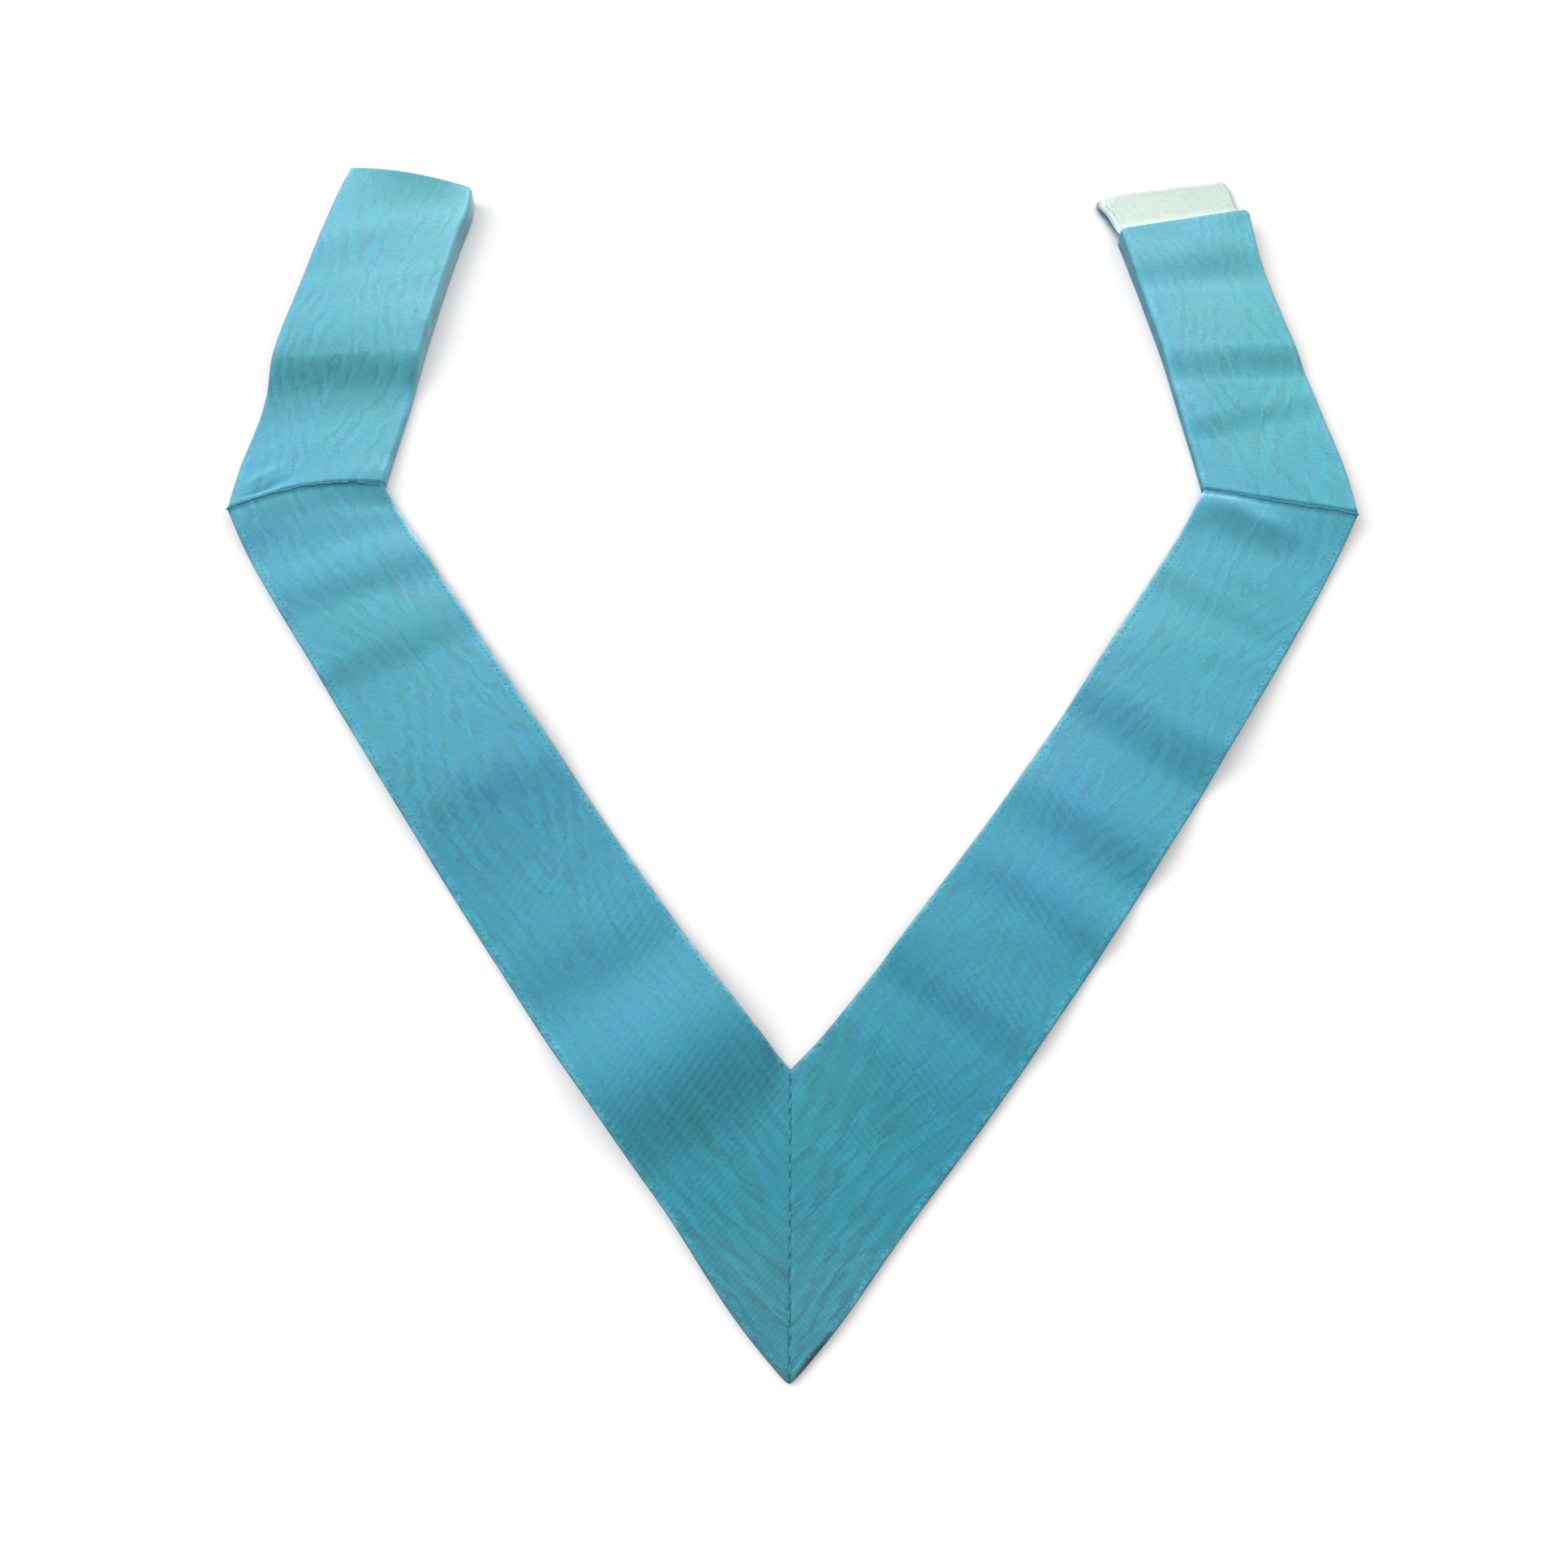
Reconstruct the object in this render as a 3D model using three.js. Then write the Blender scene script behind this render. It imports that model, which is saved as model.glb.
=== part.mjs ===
// Collarette of pale blue watered ribbon, unfastened and lying flat with its point towards -Y.
// Two front bands are mitred together at the point and two neck straps are mitred to them at the
// shoulders. The right strap ends in a white tab of hook-and-loop tape. A strip of the same tape
// is sewn under the end of the left strap. Millimetres, +Z up.

import * as THREE from 'three';

// Thicknesses and gaps
const CLOTH = 1.6; // ribbon face, ribbon back and a light stiffener between them
const TAPE = 1.2; // hook-and-loop tape
const SEAM_GAP = 0.36; // open line between two pieces that are sewn together
const TAPE_GAP = 0.3; // between a tape and the strap that it is sewn under
const SEAM_DIP = 0.5; // how far the upper face drops into a seam
const SEAM_ROLL = 1.4; // length over which it drops
const TAPE_DIP = 0.3; // the same for a tape's cut ends
const TAPE_ROLL = 0.6;
const EDGE_ROUNDING = 0.25; // share of the thickness by which an edge bulges

// Hem along the neck edge of each strap, turned down to the table
const HEM_BEND = 1.2; // radius at the middle of the cloth
const HEM_FOOT = 0.1; // height of the hem's edge above the table
const HEM_SHORTEST = 0.3;
const HEM_BEND_STEPS = 4;

// Corners of the ribbon pieces on the table, from the notch at the top of the centre seam
const NOTCH = [0, 0];
const POINT = [0, -85.6];
const LEFT_SHOULDER = { inner: [-138.9, 209.8], outer: [-190.1, 198.2] };
const RIGHT_SHOULDER = { inner: [141.6, 207.8], outer: [192.2, 196.5] };
const LEFT_STRAP_END = { inner: [-120.0, 352.4], outer: [-168.9, 364.9] };
const RIGHT_STRAP_END = { inner: [124.4, 329.7], outer: [175.0, 342.9] };
const LEFT_SHOULDER_SEAM_BOW = 4.5; // the left shoulder seam curves towards the strap
const SEAM_BOW_FADE = 4; // power with which that curve dies out along both pieces
const LEFT_END_CROWN = 2.5; // the free end of the left strap stands up in its middle
const CROWN_FROM = 0.8; // share of the strap's length where it starts to

// Tab of hook-and-loop tape on the right strap. Its inner side and outer side are as long as this.
const TAB_LAP = 5; // hidden under the strap
const TAB_INNER_LENGTH = 28.4;
const TAB_OUTER_LENGTH = 26.0;
const TAB_INSET = 2.3; // from the strap's neck edge, where the hem passes
const TAB_WIDTH = 46.6;
const TAB_CURL = 1.2; // how far its neck edge bends down
const TAB_CURL_WIDTH = 7;
const TAB_CURL_FROM = 0.3; // share of its length from which it is fully bent

// Strip of hook-and-loop tape under the left strap, as shares of the strap's length and width
const STRIP = { from: 0.86, to: 0.98, inner: 0.06, outer: 0.95 };

// Mesh density
const BAND_ROWS = 48;
const STRAP_ROWS = 26;
const TAPE_ROWS = 8;
const ACROSS_STEPS = 9;

// at: share of the piece's length. Bow: how far the edge lies outside the straight line between
// its corners. Lift: height of the cloth's underside over the table at that edge.
const SECTION = 'at innerBow outerBow innerLift outerLift';
const LEFT_FRONT_ROWS = table(SECTION, [
  [0.00, 0.0, 0.0, 0.0, 0.0],
  [0.05, 1.6, 1.8, 0.0, 0.0],
  [0.14, 2.8, 2.2, 0.0, 0.0],
  [0.27, 3.2, 4.8, 0.0, 0.0],
  [0.42, 3.2, 5.4, 0.0, 0.0],
  [0.60, 2.6, 5.2, 0.0, 0.0],
  [0.80, 1.3, 3.8, 0.2, 0.2],
  [0.92, 0.8, 3.0, 0.4, 0.5],
  [1.00, 0.0, 0.0, 2.2, 3.2],
]);
const RIGHT_FRONT_ROWS = table(SECTION, [
  [0.00, 0.0, 0.0, 0.0, 0.0],
  [0.05, 2.0, 2.0, 0.0, 0.0],
  [0.14, 3.7, 3.2, 0.0, 0.0],
  [0.27, 4.4, 5.8, 0.0, 0.0],
  [0.42, 5.1, 7.2, 0.0, 0.0],
  [0.60, 4.8, 6.9, 0.0, 0.0],
  [0.80, 3.0, 5.0, 0.2, 0.2],
  [0.92, 1.8, 2.8, 0.6, 0.6],
  [1.00, 0.0, 0.0, 2.4, 3.0],
]);
const LEFT_STRAP_ROWS = table(SECTION, [
  [0.00, 0.0, 0.0, 2.2, 3.2],
  [0.12, 0.1, 1.8, 1.1, 0.7],
  [0.28, 0.1, 1.6, 1.4, 0.4],
  [0.42, 0.8, 3.0, 4.5, 4.5],
  [0.60, 1.0, 2.6, 6.5, 6.5],
  [0.80, 0.6, 1.8, 6.0, 6.5],
  [0.96, 0.2, 0.4, 4.0, 4.2],
  [1.00, 1.2, -0.4, 3.5, 3.5],
]);
const RIGHT_STRAP_ROWS = table(SECTION, [
  [0.00, 0.0, 0.0, 2.4, 3.0],
  [0.12, 0.6, 1.3, 3.5, 2.8],
  [0.28, 1.0, 1.0, 4.0, 1.2],
  [0.50, 1.7, -0.2, 4.5, 0.3],
  [0.75, 1.2, -1.5, 4.5, 0.2],
  [0.88, 0.6, -1.4, 4.5, 0.8],
  [1.00, 0.0, 0.0, 4.0, 2.0],
]);
const TAB_ROWS = table(SECTION, [
  [0.00, 0.0, 0.0, 2.5, 0.4],
  [0.19, 0.0, 0.0, 2.5, 0.5],
  [0.30, -2.7, 0.9, 2.5, 0.5],
  [0.60, -4.4, 0.9, 2.5, 0.7],
  [0.88, -5.8, 0.4, 2.4, 0.9],
  [0.95, -4.4, -0.5, 2.4, 1.0],
  [1.00, -0.6, -2.3, 2.3, 1.0],
]);

// Folds pressed across the cloth. at: distance of the crest from the piece's start along its
// neck edge. lean: how much further along it is at the outer edge. reach: half its length.
const FOLD = 'at lean rise reach';
const LEFT_FRONT_FOLDS = table(FOLD, [
  [13, 4, 4.0, 24],
  [72, -4, 1.2, 16],
  [136, 4, 2.3, 26],
  [197, 2, 1.3, 13],
  [231, 0, 1.5, 13],
]);
const RIGHT_FRONT_FOLDS = table(FOLD, [
  [20, 2, 0.9, 16],
  [52, -6, 1.5, 14],
  [98, -8, 1.7, 13],
  [124, -5, 1.9, 15],
  [168, -4, 2.7, 20],
  [228, -2, 1.2, 14],
]);
const LEFT_STRAP_FOLDS = table(FOLD, [
  [64, -4, 1.0, 16],
]);
const RIGHT_STRAP_FOLDS = table(FOLD, [
  [40, -2, 1.3, 12],
  [70, -3, 2.3, 14],
  [114, -4, 1.6, 14],
]);
const FOLD_FADE = 0.06; // folds die out over this share of a piece at both of its ends

function table(columns, rows) {
  const names = columns.split(' ');
  return rows.map((row) => Object.fromEntries(names.map((name, i) => [name, row[i]])));
}

function mix(a, b, share) {
  return a + (b - a) * share;
}

function clamp(value, low, high) {
  return Math.min(Math.max(value, low), high);
}

// 0 at both edges of a piece and 1 at its middle
function arch(share) {
  return 4 * share * (1 - share);
}

// Smooth curve through one column of a table of sections
function readRows(rows, column, at) {
  const slopeBetween = (i) => (rows[i + 1][column] - rows[i][column]) / (rows[i + 1].at - rows[i].at);
  const slopeAt = (i) => {
    if (i === 0) return slopeBetween(0);
    if (i === rows.length - 1) return slopeBetween(i - 1);
    const before = rows[i].at - rows[i - 1].at;
    const after = rows[i + 1].at - rows[i].at;
    return (slopeBetween(i - 1) * after + slopeBetween(i) * before) / (before + after);
  };
  let i = 0;
  while (i < rows.length - 2 && at > rows[i + 1].at) i += 1;
  const span = rows[i + 1].at - rows[i].at;
  const q = clamp((at - rows[i].at) / span, 0, 1);
  const start = (2 * q ** 3 - 3 * q ** 2 + 1) * rows[i][column];
  const end = (3 * q ** 2 - 2 * q ** 3) * rows[i + 1][column];
  const leave = (q ** 3 - 2 * q ** 2 + q) * span * slopeAt(i);
  const arrive = (q ** 3 - q ** 2) * span * slopeAt(i + 1);
  return start + end + leave + arrive;
}

// A length of cloth between an inner and an outer edge, each given by its two corners. plan and
// underside take a share of its length and a share of its width, counted from the inner edge.
function layCloth({ inner, outer, rows, folds = [], gaps = [0, 0], ...shape }) {
  const { startBow = 0, endBow = 0, endCrown = 0, innerCurl = 0 } = shape;
  const origin = new THREE.Vector2(...inner[0]);
  const run = new THREE.Vector2(...inner[1]).sub(origin).normalize();
  const out = outwardFrom(inner, outer);
  const width = new THREE.Vector2(...outer[1]).sub(new THREE.Vector2(...inner[1])).dot(out);
  const corner = (point, shift) => new THREE.Vector2(...point).addScaledVector(run, shift);
  const starts = [corner(inner[0], gaps[0]), corner(outer[0], gaps[0])];
  const ends = [corner(inner[1], -gaps[1]), corner(outer[1], -gaps[1])];
  const startBulge = squareTo(inner[0], outer[0], run).multiplyScalar(startBow);
  const endBulge = squareTo(inner[1], outer[1], run).multiplyScalar(endBow);

  function plan(at, share) {
    const innerPoint = starts[0].clone().lerp(ends[0], at);
    innerPoint.addScaledVector(out, readRows(rows, 'innerBow', at));
    const outerPoint = starts[1].clone().lerp(ends[1], at);
    outerPoint.addScaledVector(out, readRows(rows, 'outerBow', at));
    return innerPoint.lerp(outerPoint, share)
      .addScaledVector(startBulge, (1 - at) ** SEAM_BOW_FADE * arch(share))
      .addScaledVector(endBulge, at ** SEAM_BOW_FADE * arch(share));
  }

  function underside(at, share) {
    const place = plan(at, share).sub(origin);
    const along = place.dot(run);
    const across = place.dot(out);
    const fade = clamp(at / FOLD_FADE, 0, 1) * clamp((1 - at) / FOLD_FADE, 0, 1);
    let height = mix(readRows(rows, 'innerLift', at), readRows(rows, 'outerLift', at), share);
    height += endCrown * clamp((at - CROWN_FROM) / (1 - CROWN_FROM), 0, 1) ** 2 * arch(share);
    const curl = clamp(1 - (share * width) / TAB_CURL_WIDTH, 0, 1) ** 2;
    height -= innerCurl * curl * clamp(at / TAB_CURL_FROM, 0, 1);
    for (const fold of folds) {
      const away = Math.abs(along - fold.at - (fold.lean * across) / width) / fold.reach;
      if (away < 1) height += fade * fold.rise * Math.cos((Math.PI * away) / 2) ** 2;
    }
    return Math.max(height, 0);
  }

  return { plan, underside, length: starts[0].distanceTo(ends[0]) };
}

// Unit direction square to the line between two points, on the side that towards points to
function squareTo(from, to, towards) {
  const line = new THREE.Vector2(...to).sub(new THREE.Vector2(...from)).normalize();
  const square = new THREE.Vector2(line.y, -line.x);
  return square.dot(towards) < 0 ? square.negate() : square;
}

// Unit direction from the inner edge of a piece towards its outer edge, square to its length
function outwardFrom(inner, outer) {
  const towards = new THREE.Vector2(...outer[1]).sub(new THREE.Vector2(...inner[1]));
  return squareTo(inner[0], inner[1], towards);
}

// The cut through a cloth at one share of its length. It gives the upper and the lower line of
// the cloth and the rounded nose at each edge, as a ring of points.
function cutCloth(cloth, at, { thickness, hem = false, dip = 0 }) {
  const nose = thickness * EDGE_ROUNDING;
  const width = cloth.plan(at, 0).distanceTo(cloth.plan(at, 1));
  const middleAt = (t) => new THREE.Vector2(t, cloth.underside(at, t / width) + thickness / 2);
  const middle = [];
  let first = nose;
  if (hem) {
    first = thickness / 2 + HEM_BEND;
    const bendFrom = middleAt(first).y - HEM_BEND;
    const foot = Math.min(HEM_FOOT, bendFrom - HEM_SHORTEST) + nose;
    middle.push(new THREE.Vector2(thickness / 2, foot));
    for (let step = 0; step < HEM_BEND_STEPS; step += 1) {
      const turn = (Math.PI / 2) * (step / HEM_BEND_STEPS);
      const bent = new THREE.Vector2(-Math.cos(turn), Math.sin(turn)).multiplyScalar(HEM_BEND);
      middle.push(new THREE.Vector2(first, bendFrom).add(bent));
    }
  }
  for (let step = 0; step <= ACROSS_STEPS; step += 1) {
    middle.push(middleAt(mix(first, width - nose, step / ACROSS_STEPS)));
  }
  const last = middle.length - 1;
  const direction = (k) => {
    const after = middle[Math.min(k + 1, last)].clone();
    return after.sub(middle[Math.max(k - 1, 0)]).normalize();
  };
  const offset = (k, amount) => {
    const along = direction(k);
    return middle[k].clone().add(new THREE.Vector2(-along.y, along.x).multiplyScalar(amount));
  };
  const upper = middle.map((point, k) => offset(k, thickness / 2 - dip));
  const lower = middle.map((point, k) => offset(k, -thickness / 2));
  const outerNose = middle[last].clone().addScaledVector(direction(last), nose);
  const innerNose = middle[0].clone().addScaledVector(direction(0), -nose);
  const ring = [...upper, outerNose, ...lower.reverse(), innerNose];
  return ring.map(({ x, y }) => {
    const place = cloth.plan(at, x / width);
    return new THREE.Vector3(place.x, place.y, y);
  });
}

// Closed skin over a row of rings that all have the same points
function skinRings(rings) {
  const size = rings[0].length;
  const half = size / 2 - 2; // last point of a ring's upper line
  const triangles = [];
  const quad = (a, b, c, d) => triangles.push(a, b, c, a, c, d);
  for (let row = 0; row < rings.length - 1; row += 1) {
    for (let k = 0; k < size; k += 1) {
      const next = (k + 1) % size;
      quad(row * size + k, row * size + next, (row + 1) * size + next, (row + 1) * size + k);
    }
  }
  const closeEnd = (base, flip) => {
    const cap = [];
    const lower = (k) => base + size - 2 - k;
    for (let k = 0; k < half; k += 1) {
      cap.push(base + k, lower(k), lower(k + 1), base + k, lower(k + 1), base + k + 1);
    }
    cap.push(base + half, lower(half), base + half + 1, base, base + size - 1, lower(0));
    triangles.push(...(flip ? cap.reverse() : cap));
  };
  closeEnd(0, false);
  closeEnd((rings.length - 1) * size, true);
  const points = rings.flat();
  if (signedVolume(points, triangles) < 0) triangles.reverse();
  const geometry = new THREE.BufferGeometry();
  const numbers = points.flatMap((point) => point.toArray());
  geometry.setAttribute('position', new THREE.Float32BufferAttribute(numbers, 3));
  geometry.setIndex(triangles);
  geometry.computeVertexNormals();
  return geometry;
}

function signedVolume(points, triangles) {
  let total = 0;
  for (let i = 0; i < triangles.length; i += 3) {
    const [a, b, c] = [0, 1, 2].map((corner) => points[triangles[i + corner]]);
    total += a.dot(b.clone().cross(c)) / 6;
  }
  return total;
}

// Solid of a cloth, its upper face rolled down at both ends
function clothGeometry(cloth, rowCount, { thickness, hem, dip, roll }) {
  const rings = [];
  const shareOfRoll = roll / cloth.length;
  for (let row = 0; row <= rowCount; row += 1) {
    if (row === 0) rings.push(cutCloth(cloth, 0, { thickness, hem, dip }));
    const at = mix(shareOfRoll, 1 - shareOfRoll, row / rowCount);
    rings.push(cutCloth(cloth, at, { thickness, hem }));
    if (row === rowCount) rings.push(cutCloth(cloth, 1, { thickness, hem, dip }));
  }
  return skinRings(rings);
}

const ribbonFinish = { color: 0x5fb2c6, roughness: 0.55, metalness: 0 };
const tapeFinish = { color: 0xdceee8, roughness: 0.9, metalness: 0 };
const bandCloth = { thickness: CLOTH, dip: SEAM_DIP, roll: SEAM_ROLL };
const strapCloth = { ...bandCloth, hem: true };
const tapeCloth = { thickness: TAPE, dip: TAPE_DIP, roll: TAPE_ROLL };

function namedMesh(name, geometry, finish) {
  const mesh = new THREE.Mesh(geometry, new THREE.MeshStandardMaterial(finish));
  mesh.name = name;
  return mesh;
}

function frontBand(shoulder, rows, folds, shoulderSeamBow) {
  return layCloth({
    inner: [NOTCH, shoulder.inner],
    outer: [POINT, shoulder.outer],
    rows,
    folds,
    endBow: shoulderSeamBow,
    gaps: [SEAM_GAP / 2, SEAM_GAP / 2],
  });
}

function neckStrap(shoulder, end, rows, folds, shoulderSeamBow, endCrown) {
  return layCloth({
    inner: [shoulder.inner, end.inner],
    outer: [shoulder.outer, end.outer],
    rows,
    folds,
    startBow: shoulderSeamBow,
    endCrown,
    gaps: [SEAM_GAP / 2, 0],
  });
}

// The tab starts under the end of the right strap, in line with it, and reaches past it
function fasteningTab() {
  const { inner: shoulder } = RIGHT_SHOULDER;
  const { inner: endInner, outer: endOuter } = RIGHT_STRAP_END;
  const run = new THREE.Vector2(...endInner).sub(new THREE.Vector2(...shoulder)).normalize();
  const out = outwardFrom([shoulder, endInner], [RIGHT_SHOULDER.outer, endOuter]);
  const slant = new THREE.Vector2(...endOuter).sub(new THREE.Vector2(...endInner)).normalize();
  const innerStart = new THREE.Vector2(...endInner);
  innerStart.addScaledVector(run, -TAB_LAP).addScaledVector(out, TAB_INSET);
  const outerStart = innerStart.clone().addScaledVector(slant, TAB_WIDTH);
  const reach = (start, length) => [start.toArray(), start.clone().addScaledVector(run, length).toArray()];
  return layCloth({
    inner: reach(innerStart, TAB_INNER_LENGTH),
    outer: reach(outerStart, TAB_OUTER_LENGTH),
    rows: TAB_ROWS,
    innerCurl: TAB_CURL,
  });
}

// A tape that lies against the underside of a strap
function tapeUnder(strap, { from, to, inner, outer }) {
  const place = (at, share) => [mix(from, to, at), mix(inner, outer, share)];
  return {
    plan: (at, share) => strap.plan(...place(at, share)),
    underside: (at, share) => strap.underside(...place(at, share)) - TAPE_GAP - TAPE,
    length: strap.length * (to - from),
  };
}

const leftBand = frontBand(LEFT_SHOULDER, LEFT_FRONT_ROWS, LEFT_FRONT_FOLDS, LEFT_SHOULDER_SEAM_BOW);
const rightBand = frontBand(RIGHT_SHOULDER, RIGHT_FRONT_ROWS, RIGHT_FRONT_FOLDS, 0);
const leftStrap = neckStrap(
  LEFT_SHOULDER, LEFT_STRAP_END, LEFT_STRAP_ROWS, LEFT_STRAP_FOLDS,
  LEFT_SHOULDER_SEAM_BOW, LEFT_END_CROWN,
);
const rightStrap = neckStrap(RIGHT_SHOULDER, RIGHT_STRAP_END, RIGHT_STRAP_ROWS, RIGHT_STRAP_FOLDS, 0, 0);

const collarette = new THREE.Group();
collarette.add(
  namedMesh('left_front_band', clothGeometry(leftBand, BAND_ROWS, bandCloth), ribbonFinish),
  namedMesh('right_front_band', clothGeometry(rightBand, BAND_ROWS, bandCloth), ribbonFinish),
  namedMesh('left_neck_strap', clothGeometry(leftStrap, STRAP_ROWS, strapCloth), ribbonFinish),
  namedMesh('right_neck_strap', clothGeometry(rightStrap, STRAP_ROWS, strapCloth), ribbonFinish),
  namedMesh('fastening_tab', clothGeometry(fasteningTab(), TAPE_ROWS, tapeCloth), tapeFinish),
  namedMesh('mating_strip', clothGeometry(tapeUnder(leftStrap, STRIP), TAPE_ROWS, tapeCloth), tapeFinish),
);

// The origin is on the table, under the middle of the whole piece
const extent = new THREE.Box3().setFromObject(collarette);
const centre = extent.getCenter(new THREE.Vector3());
collarette.position.set(-centre.x, -centre.y, -extent.min.z);

export default collarette;
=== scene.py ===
from math import pi, radians

import bpy
import numpy as np
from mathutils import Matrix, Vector


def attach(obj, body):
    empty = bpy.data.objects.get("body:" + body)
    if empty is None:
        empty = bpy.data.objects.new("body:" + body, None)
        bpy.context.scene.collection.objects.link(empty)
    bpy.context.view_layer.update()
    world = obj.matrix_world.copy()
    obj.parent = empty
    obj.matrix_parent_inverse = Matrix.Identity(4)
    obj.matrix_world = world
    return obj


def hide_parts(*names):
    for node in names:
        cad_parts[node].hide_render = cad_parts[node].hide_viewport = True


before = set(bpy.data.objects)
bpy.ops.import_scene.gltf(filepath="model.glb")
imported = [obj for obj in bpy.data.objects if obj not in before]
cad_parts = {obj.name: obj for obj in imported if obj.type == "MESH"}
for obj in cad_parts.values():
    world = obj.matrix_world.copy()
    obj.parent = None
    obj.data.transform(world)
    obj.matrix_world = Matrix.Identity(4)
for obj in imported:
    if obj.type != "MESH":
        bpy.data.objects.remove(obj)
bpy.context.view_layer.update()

# Camera. It looks straight up the length of the collarette and 60 degrees down on it, from
# arm's length, so that the point is nearest and the neck ends are furthest away.
CAMERA_PLACE = (-0.0029, -0.3096, 0.4564)
CAMERA_DOWN = radians(60)
SENSOR = 36.0
LENS = 39.07


def placed(name, data, place=(0, 0, 0), turn=(0, 0, 0)):
    """A new object in the scene."""
    thing = bpy.data.objects.new(name, data)
    thing.location = place
    thing.rotation_euler = turn
    bpy.context.scene.collection.objects.link(thing)
    return thing


camera_data = bpy.data.cameras.new("camera")
camera_data.sensor_width = SENSOR
camera_data.lens = LENS
camera = placed("camera", camera_data, CAMERA_PLACE, (pi / 2 - CAMERA_DOWN, 0, 0))
bpy.context.scene.camera = camera

# Front bands. Each is a length of watered ribbon on a back of the same ribbon, with a light
# stiffener between them, felled together along both edges. They lie on the table in shallow
# folds and are mitred to each other from the notch down to the point.
MM = 0.001  # cloth is drawn in millimetres on the table and meshed in metres
NOTCH = np.array([-1.05, -139.70])  # top of the centre seam, from the frame's origin
POINT = (-0.5, -85.7)  # from the notch, as the other corners are
LEFT_SHOULDER = ((-138.9, 209.8), (-190.1, 198.2))
RIGHT_SHOULDER = ((141.6, 207.8), (192.2, 196.5))
LEFT_SEAM_BOW = 4.5
SEAM_BOW_FADE = 4  # power by which a seam's bow dies away along the cloth
CROWN_FROM = 0.8  # share of the length
FOLD_FADE = 0.055  # share of the length at each end where folds settle

RIBBON_THICK = 1.6  # of both layers and the stiffener
EDGE_ROUND = 0.4  # how far an edge bulges
BACK_INSET = 0.12  # how far the back stays behind the ribbon's edge
FELL_GROOVE = 0.25  # depth of the line between the ribbon's edge and its back's
SEAM_GAP = 0.02
SEAM_ROLL = 1.5  # how far from a seam the cloth starts to turn down into it
SEAM_DIP = 0.18
BLUNT = 1.0  # rounding of the point
ROW_PITCH = 0.42
END_ROWS = (0, 0.05, 0.15, 0.3, 0.5, 0.8, 1.15, 1.5)
ACROSS_STEPS = 46

# Columns of the short tables. In a section, at is a share of the cloth's length. Elsewhere it is
# millimetres along it, and across, long and wide say where a patch lies and how far it reaches.
SECTION = "at inner_bow outer_bow inner_lift outer_lift"
FOLD = "at lean rise reach fall inner outer"
DENT = "at across long wide lean rise"
TINT = "at across long wide blue"
PATCH = "at across long wide amount"
WATER = "at centre push strength"


def table(columns, *rows):
    """Named columns of a short table, as arrays."""
    return dict(zip(columns.split(), np.array(rows, float).T))


LEFT_FRONT_ROWS = table(
    SECTION,
    (0, 0, 0, 0, 0),
    (0.05, 1.6, 2.1, 0.1, 0.1),
    (0.17, 3, 2.9, 2, 1.7),
    (0.27, 3.2, 4.8, 0.9, 0.8),
    (0.42, 3.2, 5.4, 0.1, 0.2),
    (0.6, 2.6, 5.2, 0, 0),
    (0.8, 1.3, 3.8, 0.5, 0.5),
    (0.88, 1, 3.3, 0.6, 0.6),
    (0.935, 0.7, 2.5, 0.1, 0.7),
    (0.965, 0.4, 1.6, 0.3, 2.3),
    (0.985, 0.1, 0.7, 1.6, 3.1),
    (1, 0, 0, 2.7, 3.3),
)
RIGHT_FRONT_ROWS = table(
    SECTION,
    (0, 0, 0, 0, 0),
    (0.05, 2, 2, 0.5, 0),
    (0.14, 3.7, 3.2, 2, 0.1),
    (0.27, 4.4, 5.8, 1, 0),
    (0.42, 5.1, 7.2, 0, 0),
    (0.6, 4.8, 6.9, 0, 0),
    (0.8, 3, 5, 0.2, 0.2),
    (0.93, 1.6, 2.5, 0.3, 0.5),
    (0.965, 0.9, 1.4, 1.7, 1.3),
    (1, 0, 0, 1.9, 2.8),
)
LEFT_FRONT_FOLDS = table(
    FOLD,
    (18, 4, 4.6, 29, 36, 1, 1),
    (68, -8, 0.7, 18, 24, 0.8, 0.5),
    (140, -2, 3.1, 46, 54, 0.9, 0.7),
    (192, 4, 1.2, 14, 22, 0.6, 1),
    (220, 10, 1.2, 14, 26, 0.8, 0.9),
)
RIGHT_FRONT_FOLDS = table(
    FOLD,
    (20, 4, 0.9, 14, 20, 1, 0.3),
    (49, -2, 1.6, 13, 28, 0.6, 0.9),
    (91, -4, 1.9, 12, 18, 0, 0.8),
    (124, -6, 2.6, 15, 30, 0.1, 0.9),
    (165, -2, 3.3, 20, 60, 0.55, 1),
    (218, -2, 1.2, 14, 24, 0.8, 0.6),
)
RIGHT_FRONT_DENTS = table(
    DENT,
    (250, 11, 5, 9, 0, 1.3), (250, 25, 5, 8, 0, 1.3), (8, 24, 7, 15, 0, 0.5),
)
LEFT_FRONT_TINTS = table(
    TINT,
    (-50, 30, 38, 40, -1.2), (-2, 24, 14, 30, -0.4), (36, 30, 22, 18, 0.6),
    (80, 14, 26, 14, 0.4), (124, 20, 24, 16, 0.8), (188, 26, 26, 24, -0.8),
    (246, 44, 20, 10, 0.9),
)
RIGHT_FRONT_TINTS = table(
    TINT,
    (-50, 30, 38, 40, -1.1), (2, 16, 20, 22, -0.9), (22, 38, 16, 14, 0.6),
    (42, 34, 18, 14, 0.5), (84, 22, 16, 22, 1), (122, 26, 20, 20, 1.1),
    (152, 20, 10, 18, 0.7), (206, 26, 34, 26, -0.6),
)
LEFT_FRONT_BARS = table(
    PATCH,
    (-50, 30, 30, 40, 0.6), (2, 25, 26, 45, 0.9), (58, 14, 18, 9, 0.6),
    (80, 28, 20, 9, 0.4), (122, 40, 24, 9, 0.5),
)
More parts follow.
